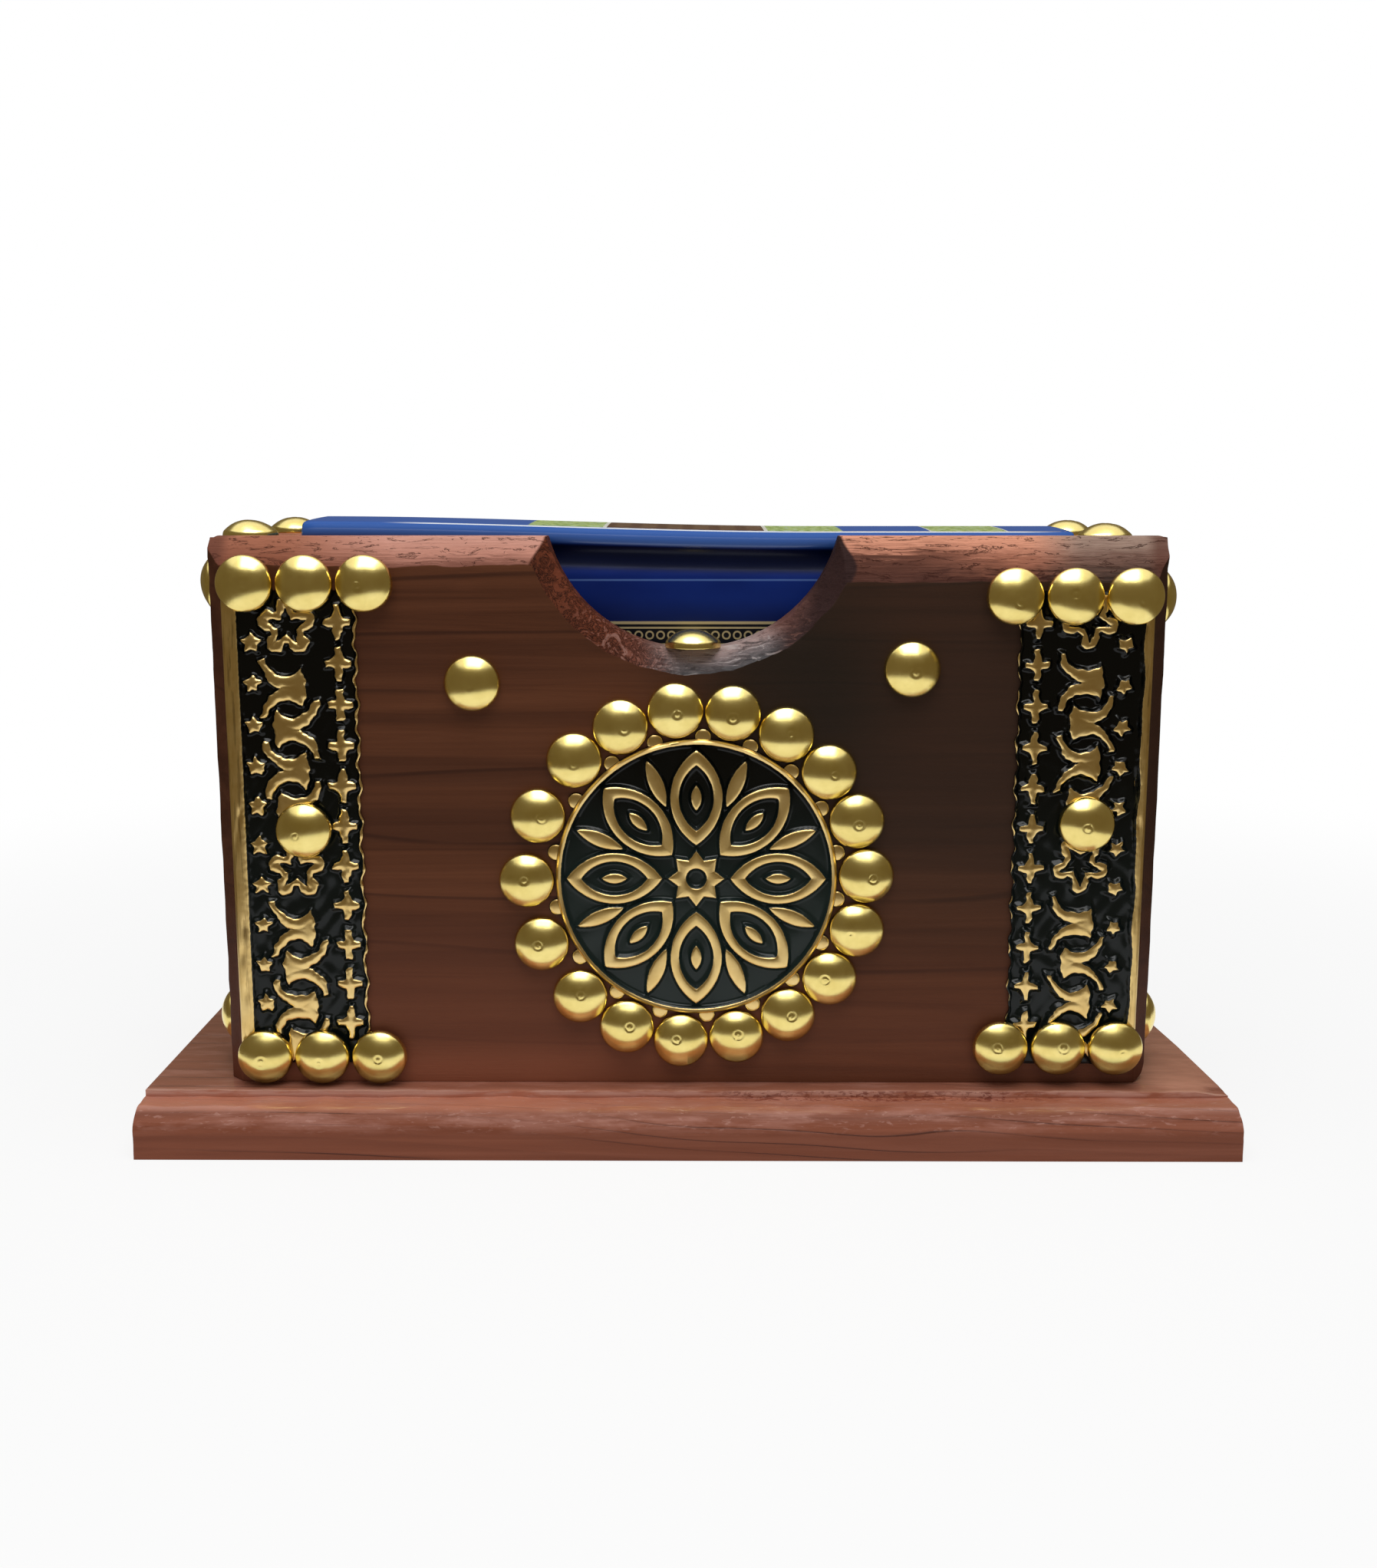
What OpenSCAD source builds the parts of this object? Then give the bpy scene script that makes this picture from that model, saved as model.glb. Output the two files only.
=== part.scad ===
// Open wooden book box on a moulded plinth, trimmed with brass studs, embossed strips and a medallion.
// A bound volume stands in it, spine up, and lifts out.
// Origin at the middle of the underside, +Z up, front towards -Y, millimetres.

/* [Box] */
// Width of the front and back boards
box_w = 270; // [250:1:320]
// Depth from the front face to the back face
box_d = 104; // [98:1:140]
// Height of the boards above the plinth
wall_h = 158; // [140:1:200]
// How far the front board stands above the others
front_rise = 0.8; // [0:0.1:2]
// How far the right-hand board ends below the left-hand one
right_drop = 1; // [0:0.1:2]
// Thickness of the front and back boards
front_t = 16; // [14:0.5:20]
// Thickness of the side boards
side_t = 18; // [15:0.5:22]
// Planed arris on the upright corners
arris_w = 4; // [2:0.5:6]
// Eased outer edge on top of the side and back boards
rim_ease = 2.5; // [1:0.5:4]
// Radius of the worn lower right corner of the front board
corner_r = 5; // [2:0.5:8]

/* [Plinth] */
// Thickness of the plinth board
plinth_t = 16; // [14:0.5:22]
// How far the plinth reaches past the side boards
plinth_side_lip = 22.5; // [18:0.5:35]
// How far the plinth reaches past the front and back boards
plinth_front_lip = 20.5; // [18:0.5:35]
// Radius of the rounded front and back edges
mould_r = 7; // [4:0.5:9]
// Height of the step between the rounded edge and the top
mould_step = 2; // [0.5:0.1:2.5]
// Width of the shelf between the rounded edge and the step
mould_shelf = 6; // [2:0.5:8]
// Slant of the hand-sawn right-hand end, in degrees
end_slant = 4.8; // [0:0.2:6]

/* [Finger notch] */
// Radius of the notch
notch_r = 42.8; // [36:0.2:50]
// Depth of the notch below the rim
notch_depth = 31.3; // [24:0.1:34]
// How far the hand-cut notch lies right of the middle
notch_shift = 1.5; // [0:0.5:3]
// Bevel round the front of the notch
notch_bevel = 6.3; // [3:0.1:8]
// Depth of the rim's bevel into the board
rim_bevel_t = 6.5; // [3:0.5:9]
// Height of the rim's bevel left of the notch
rim_bevel_left = 8; // [4:0.5:11]
// Height of the rim's bevel right of the notch, planed lower by hand
rim_bevel_right = 12.5; // [4:0.5:14]

/* [Studs] */
// Diameter of a stud's domed head
stud_d = 16; // [13:0.5:17]
// Height of the head
stud_h = 5.2; // [3.5:0.1:6.5]
// Height of the head's turned-down edge
stud_edge = 1.5; // [0.8:0.1:2]
// Thickness of the pressed head
stud_wall = 0.8; // [0.6:0.1:1.2]
// Diameter of the nail under the head
nail_d = 2.2; // [1.6:0.1:2.6]
// Clearance round a nail in a strip
nail_clear = 0.3; // [0.1:0.1:0.6]
// Length of the nail under the head
nail_len = 10; // [8:0.5:11]
// Room between neighbouring heads
stud_gap = 0.7; // [0.4:0.1:2]
// Top row of studs below the rim, left strip
top_row_drop_left = 12; // [11:0.5:18]
// Top row of studs below the rim, right strip
top_row_drop_right = 15.5; // [13:0.5:20]
// Top studs of the left-hand side below the rim
side_drop_left = 13; // [12:0.5:18]
// Top studs of the right-hand side below the rim
side_drop_right = 17; // [12:0.5:20]
// Bottom row of studs above the plinth, left strip
foot_row_rise_left = 8.5; // [8.5:0.5:14]
// Bottom row of studs above the plinth, right strip
foot_row_rise_right = 11.5; // [9:0.5:16]
// Bottom stud of a side strip above the plinth
side_stud_rise = 14.5; // [9:0.5:20]
// Middle stud of the left front strip above the plinth
mid_rise_left = 76; // [60:0.5:90]
// Middle stud of the right front strip above the plinth
mid_rise_right = 78; // [60:0.5:90]
// How far the hand-set middle studs lie right of the middle of their strips
mid_shift = 2; // [0:0.5:3]
// Rows of studs on the left front strip, inwards from its middle
row_shift_left = 4.8; // [3:0.1:5]
// Rows of studs on the right front strip, inwards from its middle
row_shift_right = 3.7; // [3:0.1:5]
// Field studs, to either side of the middle between them
field_stud_x = 62; // [58:0.5:66]
// How far the hand-set field studs lie right of the middle of the box
field_shift = 1.2; // [0:0.1:3]
// Left field stud below the rim
field_drop_left = 40; // [34:0.5:46]
// Right field stud below the rim
field_drop_right = 36; // [30:0.5:42]
// Studs on the sides, from the front and back faces
edge_stud_inset = 21; // [18:0.5:27]
// Room between a stud on the rim and the front and back boards
rim_stud_room = 0.5; // [0.3:0.1:4]
// How much further back the front stud of the right-hand rim is set
right_rim_back = 3.5; // [0:0.5:6]
// How far the hand-set studs of the left-hand rim lie left of the middle of their board
rim_shift_left = 2; // [0:0.5:3]
// How far the hand-set studs of the right-hand rim lie left of the middle of their board
rim_shift_right = 3.5; // [0:0.5:4]

/* [Strips] */
// Width of an embossed strip
strip_w = 38; // [34:0.5:39]
// Thickness of the strip's sheet
strip_t = 1; // [0.8:0.1:1.5]
// Height of the raised pattern on strips and medallion
relief_h = 1; // [0.5:0.1:1.5]
// Room between the arris and a front strip
strip_margin = 0.5; // [0:0.1:2]
// Side strips, from the front and back faces
side_strip_inset = 11.5; // [9:0.5:12]
// Least room between the two strips of a side
side_strip_room = 2; // [1:0.5:4]
// End of the strip below the rim
strip_head = 14; // [13:0.5:18]
// End of the strip above the plinth
strip_foot = 6; // [4:0.5:9]
// Flat band along the outer edge
band_w = 4; // [3:0.1:5]
// Narrow bead along the inner edge
bead_w = 1; // [0.6:0.1:1.5]
// Step of the pattern
motif_step = 11.65; // [11.4:0.05:14]
// First cross below the head of a strip
first_row = 8.8; // [6:0.1:12]
// First cross above the foot of a strip that is turned upside down
turned_first_row = 12.3; // [6:0.1:14]
// Radius of a small star
star_r = 2.7; // [2:0.1:3.2]
// Radius of a small star between its points
star_inner_r = 1.6; // [1:0.1:1.9]
// Room between the band and the small stars
star_gap = 1.2; // [0.5:0.1:2]
// Width of a cross
cross_w = 8.2; // [6:0.1:8.6]
// Height of a cross
cross_h = 10.2; // [8:0.1:10.8]
// Width of a cross's arms at their roots
cross_root = 3.4; // [2:0.1:4]
// Width of a cross's arms at their ends
cross_tip = 2.2; // [1:0.1:2.6]
// Room between the bead and the crosses
cross_gap = 0.5; // [0.3:0.1:1.5]
// Middle of the flowers and tulips, from the strip's outer edge
wave_u = 18.2; // [17:0.1:20]
// Shift of the tulips to either side, away from their bases
wave_sway = 1.7; // [1:0.1:2.5]
// Drop of the flowers below the crosses
wave_drop = 1.2; // [0:0.1:4]
// Length of a tulip from its base to the tips of its horns
tulip_l = 12.2; // [11:0.1:12.8]
// Width of a tulip across its horns
tulip_w = 15.8; // [14:0.1:16.4]
// Width of a tulip's base
tulip_base = 9.5; // [8:0.1:10.5]
// Radius of the rounded end of the base
tulip_base_r = 14; // [10:0.5:20]
// Depth of the fork between the horns
tulip_fork = 6.9; // [5:0.1:8]
// Width of a horn's tip
horn_tip = 1; // [0.4:0.1:1.4]
// Radius of a horn's curve along the fork
horn_r = 8.6; // [7:0.1:12]
// Radius of a tulip's hollow sides
hollow_r = 6.2; // [5.8:0.1:8]
// Radius of the outlined flower
flower_r = 8.2; // [6.5:0.1:8.6]
// Radius of the flower's lobes
lobe_r = 2.6; // [2:0.1:3]
// Radius of the flower between its lobes
flower_heart_r = 4.8; // [4:0.1:5.5]
// Width of the flower's outline
flower_line = 2.2; // [1.4:0.1:2.4]

/* [Medallion] */
// Room between the notch's bevel and the ring of studs
ring_head_gap = 1.8; // [1:0.1:6]
// Room between the plinth and the ring of studs
ring_foot_gap = 5; // [1:0.1:10]
// Room between the medallion's rim and the ring of studs
medallion_gap = 0.3; // [0.2:0.1:1]
// How far the hand-set medallion lies right of the middle
medallion_shift = 2.5; // [0:0.5:4]
// Turn of the first stud, left of straight up
ring_turn = 7; // [0:1:20]
// Room between the studs of the ring, but for the few on the left that are set wider
ring_gap = 0.3; // [0.2:0.1:0.5]
// Thickness of the medallion's sheet
medallion_t = 1; // [0.8:0.1:1.5]
// Width of the raised rim
medallion_rim = 1.7; // [1:0.1:3]
// Width of the lines of the rosette
rosette_line = 2.6; // [1.8:0.1:3]
// Room between the rosette and the rim
rosette_gap = 1.5; // [0.8:0.1:3]
// Radius of the rosette's heart, where the petals start
heart_r = 9.7; // [8:0.1:12]
// Outer radius of the star in the heart
heart_star_r = 8.3; // [6:0.1:8.6]
// Inner radius of the star in the heart
heart_star_inner_r = 5.8; // [4:0.1:6.4]
// Radius of the hole in the star
heart_hole_r = 2.9; // [1.5:0.1:3.5]
// Width of a petal of the rosette
petal_w = 15; // [13:0.1:16]
// Length of a petal's point that is solid
petal_point = 4.4; // [3:0.1:6]
// Length of the leaves between the petals
leaf_l = 14.9; // [10:0.1:18]
// Width of the leaves between the petals
leaf_w = 4.2; // [3:0.1:5]
// Length of the leaf inside a petal
inner_leaf_l = 7.5; // [5:0.1:10]
// Width of the leaf inside a petal
inner_leaf_w = 3.1; // [2:0.1:4]
// Number of petals of the rosette
petals = 8; // [6:1:10]
// Radius of the small tabs that show between the studs
tab_r = 2.4; // [1.5:0.1:3]

/* [Volume] */
// Room between the volume's ends and the side boards
volume_end_gap = 5; // [2:0.5:10]
// Room between the volume's covers and the front and back boards
volume_face_gap = 3; // [2:0.5:8]
// Room between the volume and the plinth
volume_seat = 0.2; // [0.1:0.1:0.5]
// How far the spine stands above the rim
volume_proud = 6; // [1:0.5:10]
// Thickness of a cover board
cover_t = 3; // [2:0.25:4]
// Thickness of the cloth in the joints
joint_t = 1; // [0.6:0.1:1.5]
// Height of a spine's edge above the joint
spine_edge = 5.3; // [3:0.1:8]
// Height of the joint's groove
joint_h = 7; // [4:0.5:8]
// Crown of the spine
spine_crown = 1.2; // [0.8:0.1:4]
// How far the covers reach past the pages
cover_square = 3.5; // [3:0.25:5]
// Diameter of the bands at the ends of the spine
headband_d = 2.6; // [1.5:0.1:2.8]

/* [Fasteners] */
// Diameter of a plinth screw
screw_d = 4; // [3:0.5:5]
// Length of a plinth screw
screw_len = 38; // [30:1:45]
// Front and back screws, from the middle of the box
screw_x = 78; // [60:1:81]
// Depth at which a screw's head is sunk
screw_sunk = 0.4; // [0.2:0.1:1]
// Clearance round a screw in the plinth
screw_clear = 0.25; // [0.1:0.05:0.5]
// Diameter of the pins that hold the corners
pin_d = 1.6; // [1.2:0.1:2]
// Length of a corner pin
pin_len = 38; // [30:1:45]
// Depth at which a corner pin is sunk
pin_sunk = 1; // [0.5:0.5:2]
// Lowest corner pin above the plinth
pin_foot = 32; // [25:1:40]
// Step from one corner pin to the next
pin_step = 39; // [30:1:45]
// Corner pins in one corner
pin_count = 3; // [2:1:3]

/* [Hidden] */
$fn = 48;

// Colours
wood_dark = "#4a241c";
wood_red = "#7a4036";
brass = "#c9a648";
lacquered = "#b9924c";
steel = "#9a9a9a";
book_blue = "#20449a";
paper_white = "#e8dfc8";
band_red = "#b03030";

// Overlap that joins solids and clears cuts
eps = 0.5;

// Box
rim_z = plinth_t + wall_h;
front_y = -box_d / 2;
side_x = box_w / 2;
inner_w = box_w - 2 * side_t;
inner_d = box_d - 2 * front_t;
plinth_w = box_w + 2 * plinth_side_lip;
plinth_d = box_d + 2 * plinth_front_lip;

// Finger notch
notch_z = rim_z - notch_depth + notch_r;
notch_floor = rim_z - notch_depth;

// Strips
strip_edge = arris_w + strip_margin;
side_edge = min(side_strip_inset, (box_d - side_strip_room) / 2 - strip_w);
strip_len = wall_h - strip_head - strip_foot;
strip_z = plinth_t + strip_foot;
strip_face = strip_t + relief_h;
nail_hole_d = nail_d + 2 * nail_clear;
star_u = band_w + star_gap + star_r;
cross_u = strip_w - bead_w - cross_gap - cross_w / 2;
wave_period = 6;
turned_first_beat = 2;

// Stud rows
stud_step = stud_d + stud_gap;
left_rows = [rim_z - top_row_drop_left, plinth_t + foot_row_rise_left];
right_rows = [rim_z - top_row_drop_right, plinth_t + foot_row_rise_right];
left_heights = [rim_z - side_drop_left, plinth_t + side_stud_rise];
right_heights = [rim_z - side_drop_right, plinth_t + side_stud_rise];
edge_stud_y = front_y + edge_stud_inset;
rim_stud_y = front_y + front_t + stud_d / 2 + rim_stud_room;
notch_stud_lift = notch_r - sqrt(pow(notch_r, 2) - pow(stud_d / 2, 2));
dome_h = stud_h - stud_edge;
dome_r = (pow(stud_d / 2, 2) + pow(dome_h, 2)) / (2 * dome_h);

// Medallion, between the notch's bevel and the plinth
field_top = notch_floor - notch_bevel - ring_head_gap;
field_foot = plinth_t + ring_foot_gap;
medallion_z = (field_top + field_foot) / 2;
ring_r = (field_top - field_foot) / 2 - stud_d / 2;
medallion_r = ring_r - stud_d / 2 - medallion_gap;
ring_count = floor(180 / asin(stud_step / 2 / ring_r));
rosette_r = medallion_r - medallion_rim - rosette_gap;
petal_l = rosette_r - heart_r;
close_turn = 2 * asin((stud_d + ring_gap) / 2 / ring_r);
close_count = floor(ring_count * 2 / 3);
wide_count = floor((ring_count - close_count) * 2 / 3);
wide_turn = (360 - (ring_count - wide_count) * close_turn) / wide_count;
function ring_angle(i) = 90 + ring_turn - i * close_turn
  - min(max(i - close_count, 0), wide_count) * (wide_turn - close_turn);
ring_places = [for (i = [0 : ring_count - 1]) [
  medallion_shift + ring_r * cos(ring_angle(i)), medallion_z + ring_r * sin(ring_angle(i))
]];

// Volume
volume_w = inner_w - 2 * volume_end_gap;
volume_d = inner_d - 2 * volume_face_gap;
volume_h = wall_h + volume_proud - volume_seat;
volume_z = plinth_t + volume_seat;
board_h = volume_h - spine_crown - spine_edge - joint_h;
crown_r = (pow(volume_d / 2, 2) + pow(spine_crown, 2)) / (2 * spine_crown);
pages_top = volume_h - spine_crown - cover_t;
pages_w = volume_w - 2 * cover_square;
pages_d = volume_d - 2 * cover_t;

// Fasteners
screw_head_d = 2 * screw_d;
screw_head_h = screw_d / 2;
screw_places = [
  [-screw_x, front_y + front_t / 2], [screw_x, front_y + front_t / 2],
  [-screw_x, -front_y - front_t / 2], [screw_x, -front_y - front_t / 2],
  [-side_x + side_t / 2, 0], [side_x - side_t / 2, 0]
];

// Section of the plinth across the board: rounded edges, a shelf, and a step up to the top
module plinth_section() {
  shelf_z = plinth_t - mould_step;
  round_z = shelf_z - mould_r;
  shelf_w = plinth_d - 2 * mould_r;
  top_w = shelf_w - 2 * mould_shelf;
  translate([-plinth_d / 2, 0]) square([plinth_d, round_z]);
  for (side = [-1, 1]) translate([side * shelf_w / 2, round_z]) circle(mould_r);
  translate([-shelf_w / 2, 0]) square([shelf_w, shelf_z]);
  translate([-top_w / 2, 0]) square([top_w, plinth_t]);
}

module plinth() color(wood_red) difference() {
  translate([-plinth_w / 2, 0, 0]) rotate([90, 0, 90])
    linear_extrude(plinth_w + plinth_side_lip) plinth_section();
  translate([plinth_w / 2, -plinth_d / 2, -eps]) rotate(end_slant)
    translate([0, -plinth_d / 2, 0]) cube([plinth_d, 2 * plinth_d, plinth_t + 2 * eps]);
  for (place = screw_places) translate([place.x, place.y, 0]) {
    translate([0, 0, -eps]) {
      cylinder(d = screw_d + 2 * screw_clear, h = plinth_t + 2 * eps);
      cylinder(d = screw_head_d + 2 * screw_clear, h = screw_sunk + eps);
    }
    translate([0, 0, screw_sunk])
      cylinder(d1 = screw_head_d + 2 * screw_clear, d2 = screw_d + 2 * screw_clear,
               h = screw_head_h);
  }
}

// Front or back board before its rim is worked: arrises on the outer upright corners
module end_board_blank(height) {
  translate([0, 0, plinth_t]) linear_extrude(height) polygon([
    [-side_x + arris_w, front_y], [side_x - arris_w, front_y],
    [side_x, front_y + arris_w], [side_x, front_y + front_t],
    [-side_x, front_y + front_t], [-side_x, front_y + arris_w]
  ]);
}

// Wedge that planes a bevel along a rim at z = top, from x = 0 for a length
module rim_wedge(top, depth, height, length) {
  over_z = eps * height / depth;
  translate([0, front_y, top]) rotate([90, 0, 90]) linear_extrude(length)
    polygon([[-eps, -height - over_z], [depth + eps, over_z], [-eps, over_z]]);
}

// What is worn off the lower right corner of the front board
module worn_corner() {
  translate([side_x - corner_r, front_y + front_t + eps, plinth_t + corner_r]) rotate([90, 0, 0])
    linear_extrude(front_t + 2 * eps) difference() {
      translate([0, -corner_r - eps]) square(corner_r + eps);
      circle(corner_r);
    }
}

module front_board() color(wood_dark) difference() {
  end_board_blank(wall_h + front_rise);
  translate([-side_x - eps, 0, 0])
    rim_wedge(rim_z + front_rise, rim_bevel_t, rim_bevel_left, side_x + eps);
  rim_wedge(rim_z + front_rise, rim_bevel_t, rim_bevel_right, side_x + eps);
  worn_corner();
  translate([notch_shift, front_y, notch_z]) rotate([-90, 0, 0]) {
    translate([0, 0, -eps]) cylinder(r = notch_r, h = front_t + 2 * eps);
    cylinder(r1 = notch_r + notch_bevel, r2 = notch_r, h = notch_bevel);
  }
}

module back_board() color(wood_dark) mirror([0, 1, 0]) difference() {
  end_board_blank(wall_h);
  translate([-side_x - eps, 0, 0]) rim_wedge(rim_z, rim_ease, rim_ease, box_w + 2 * eps);
}

// Side board between the end boards, with its outer top edge eased
module side_board(height) {
  translate([0, inner_d / 2, plinth_t]) rotate([90, 0, 0]) linear_extrude(inner_d)
    polygon([
      [side_x - side_t, 0], [side_x, 0], [side_x, height - rim_ease],
      [side_x - rim_ease, height], [side_x - side_t, height]
    ]);
}

module right_board() color(wood_dark) side_board(wall_h - right_drop);
module left_board() color(wood_dark) mirror([1, 0, 0]) side_board(wall_h);

// Countersunk screws that hold the boards from below
module plinth_screws() color(steel) for (place = screw_places)
  translate([place.x, place.y, screw_sunk]) rotate_extrude() polygon([
    [0, 0], [screw_head_d / 2, 0], [screw_d / 2, screw_head_h],
    [screw_d / 2, screw_len - screw_d], [0, screw_len]
  ]);

// Pins sunk through the end boards into the side boards, under the strips
module corner_pins() color(steel)
  for (sx = [-1, 1], sy = [-1, 1], i = [0 : pin_count - 1])
    translate([sx * (side_x - side_t / 2), sy * (-front_y - pin_sunk),
               plinth_t + pin_foot + i * pin_step])
      rotate([sy * 90, 0, 0]) cylinder(d = pin_d, h = pin_len);

// Upholstery nail standing on z = 0: a hollow domed head with a turned-down edge, and its nail below
module stud() {
  hollow_r = dome_r - stud_wall;
  rotate_extrude() {
    intersection() {
      difference() {
        translate([0, stud_h - dome_r]) circle(dome_r);
        translate([0, stud_h - dome_r]) circle(hollow_r);
      }
      square([stud_d / 2, stud_h]);
    }
    translate([stud_d / 2 - stud_wall, 0]) square([stud_wall, stud_edge]);
    polygon([
      [0, -nail_len], [nail_d / 2, nail_d - nail_len],
      [nail_d / 2, stud_h - stud_wall / 2], [0, stud_h - stud_wall / 2]
    ]);
  }
}

// Studs facing the front, at [x, z] places, standing off the board by a seat
module front_studs(places, seat) for (place = places)
  translate([place.x, front_y - seat, place.y]) rotate([90, 0, 0]) stud();

// Places of a front strip's studs, from its outer edge and in height: two rows and one between
function front_places(rows, row_shift, mid) = [
  for (z = rows, i = [-1, 0, 1]) [strip_w / 2 + row_shift + i * stud_step, z],
  mid
];
left_places = front_places(left_rows, row_shift_left,
  [strip_w / 2 + mid_shift, plinth_t + mid_rise_left]);
right_places = front_places(right_rows, row_shift_right,
  [strip_w / 2 - mid_shift, plinth_t + mid_rise_right]);

module front_left_studs() color(brass) front_studs(
  [for (place = left_places) [strip_edge - side_x + place.x, place.y]], strip_face);
module front_right_studs() color(brass) front_studs(
  [for (place = right_places) [side_x - strip_edge - place.x, place.y]], strip_face);

// Studs of both strips on the right-hand side board
module side_studs(heights) for (y = [edge_stud_y, -edge_stud_y], z = heights)
  translate([side_x + strip_face, y, z]) rotate([0, 90, 0]) stud();

module right_side_studs() color(brass) side_studs(right_heights);
module left_side_studs() color(brass) mirror([1, 0, 0]) side_studs(left_heights);

module field_studs() color(brass) front_studs([
  [field_shift - field_stud_x, rim_z - field_drop_left],
  [field_shift + field_stud_x, rim_z - field_drop_right]
], 0);

module medallion_studs() color(brass) front_studs(ring_places, 0);

// The stud on the floor of the notch, which is round, so the head rests on it at its two sides
module notch_stud() color(brass)
  translate([notch_shift, front_y + front_t / 2, notch_floor + notch_stud_lift]) stud();

// Studs on a side board's rim: one at front_place along y, one towards the back
module rim_studs(x, front_place, z) for (y = [front_place, -rim_stud_y])
  translate([x, y, z]) stud();
module left_rim_studs() color(brass)
  rim_studs(side_t / 2 - side_x - rim_shift_left, rim_stud_y, rim_z);
module right_rim_studs() color(brass)
  rim_studs(side_x - side_t / 2 - rim_shift_right, rim_stud_y + right_rim_back, rim_z - right_drop);

// Star of n points as an outline
function star_points(n, outer, inner) = [
  for (i = [0 : 2 * n - 1]) let (r = i % 2 == 0 ? outer : inner, a = 90 + i * 180 / n)
    [r * cos(a), r * sin(a)]
];

// Cross with tapered arms and blunt ends
module cross() polygon([
  [cross_w / 2, -cross_tip / 2], [cross_w / 2, cross_tip / 2],
  [cross_root / 2, cross_root / 2],
  [cross_tip / 2, cross_h / 2], [-cross_tip / 2, cross_h / 2],
  [-cross_root / 2, cross_root / 2],
  [-cross_w / 2, cross_tip / 2], [-cross_w / 2, -cross_tip / 2],
  [-cross_root / 2, -cross_root / 2],
  [-cross_tip / 2, -cross_h / 2], [cross_tip / 2, -cross_h / 2],
  [cross_root / 2, -cross_root / 2]
]);

// Centre of a circle through two points, on the right-hand side of the way from p to q
function arc_centre(p, q, r) =
  let (way = q - p, half = norm(way) / 2, reach = sqrt(pow(r, 2) - pow(half, 2)))
    (p + q) / 2 + reach / (2 * half) * [way.y, -way.x];

// Tulip with its base towards +x and two horns towards -x
module tulip() {
  base_x = tulip_l / 2 - tulip_base_r + sqrt(pow(tulip_base_r, 2) - pow(tulip_base / 2, 2));
  fork = [tulip_fork - tulip_l / 2, 0];
  tip = [-tulip_l / 2, tulip_w / 2];
  horn = arc_centre(fork, tip, horn_r);
  hollow = arc_centre([base_x, tulip_base / 2], tip + [horn_tip, 0], hollow_r);
  difference() {
    intersection() {
      union() {
        for (flip = [0, 1]) mirror([0, flip]) translate(horn) circle(horn_r);
        polygon([fork, [tulip_l / 2, tulip_base / 2], [tulip_l / 2, -tulip_base / 2]]);
      }
      translate([tulip_l / 2 - tulip_base_r, 0]) circle(tulip_base_r);
      square([tulip_l, tulip_w], center = true);
    }
    for (flip = [0, 1]) mirror([0, flip]) translate(hollow) circle(hollow_r);
  }
}

// Flower of five lobes in outline
module flower() {
  difference() {
    union() {
      circle(flower_heart_r);
      for (i = [0 : 4]) rotate(90 + 72 * i) translate([flower_r - lobe_r, 0]) circle(lobe_r);
    }
    polygon(star_points(5, flower_r - flower_line, flower_heart_r - flower_line));
  }
}

// Raised pattern of a strip, from its head down: bands, small stars, a wave of flowers and tulips,
// and crosses. The first cross stands below the head, on a given beat of the wave.
module strip_pattern(first, first_beat) {
  rows = floor((strip_len - first - cross_h / 2) / motif_step) + 1;
  square([band_w, strip_len]);
  translate([strip_w - bead_w, 0]) square([bead_w, strip_len]);
  for (row = [-1 : rows - 1]) {
    v = strip_len - first - row * motif_step;
    beat = (row + first_beat + wave_period) % wave_period;
    side = beat % 2 == 1 ? 1 : -1;
    if (row >= 0) translate([cross_u, v]) cross();
    translate([star_u, v - motif_step / 2]) polygon(star_points(5, star_r, star_inner_r));
    if (beat == 0) translate([wave_u, v - wave_drop]) flower();
    else if (beat < wave_period - 1)
      translate([wave_u - side * wave_sway, v - wave_drop - motif_step / 2])
        rotate(side > 0 ? 0 : 180) tulip();
  }
}

// Embossed strip flat on z = 0, foot on y = 0, with holes for its nails at places from its outer edge.
// The outer edge is on x = 0, or on the other side where the strip is turned upside down.
module strip(nail_places, turned) difference() {
  union() {
    cube([strip_w, strip_len, strip_t]);
    linear_extrude(strip_face) intersection() {
      square([strip_w, strip_len]);
      if (turned) translate([strip_w, strip_len]) rotate(180)
        strip_pattern(turned_first_row, turned_first_beat);
      else strip_pattern(first_row, 0);
    }
  }
  for (place = nail_places)
    translate([turned ? strip_w - place.x : place.x, place.y - strip_z, -eps])
      cylinder(d = nail_hole_d, h = strip_face + 2 * eps);
}

// Places of the nails of a side strip, from its outer edge and in height
function side_places(heights) = [for (z = heights) [edge_stud_inset - side_edge, z]];

// Strips on the front board, and on the right-hand and left-hand side boards
module front_strip(x, places, turned) color(lacquered)
  translate([x, front_y, strip_z]) rotate([90, 0, 0]) strip(places, turned);
module right_strip(y, turned) color(lacquered)
  translate([side_x, y, strip_z]) rotate([90, 0, 90]) strip(side_places(right_heights), turned);
module left_strip(y, turned) color(lacquered)
  translate([-side_x, y, strip_z]) rotate([90, 0, -90]) strip(side_places(left_heights), turned);

module front_left_strip() front_strip(strip_edge - side_x, left_places, false);
module front_right_strip() front_strip(side_x - strip_edge - strip_w, right_places, true);
module left_rear_strip() left_strip(-front_y - side_edge, false);
module left_front_strip() left_strip(front_y + side_edge + strip_w, true);
module right_front_strip() right_strip(front_y + side_edge, false);
module right_rear_strip() right_strip(-front_y - side_edge - strip_w, true);

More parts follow.
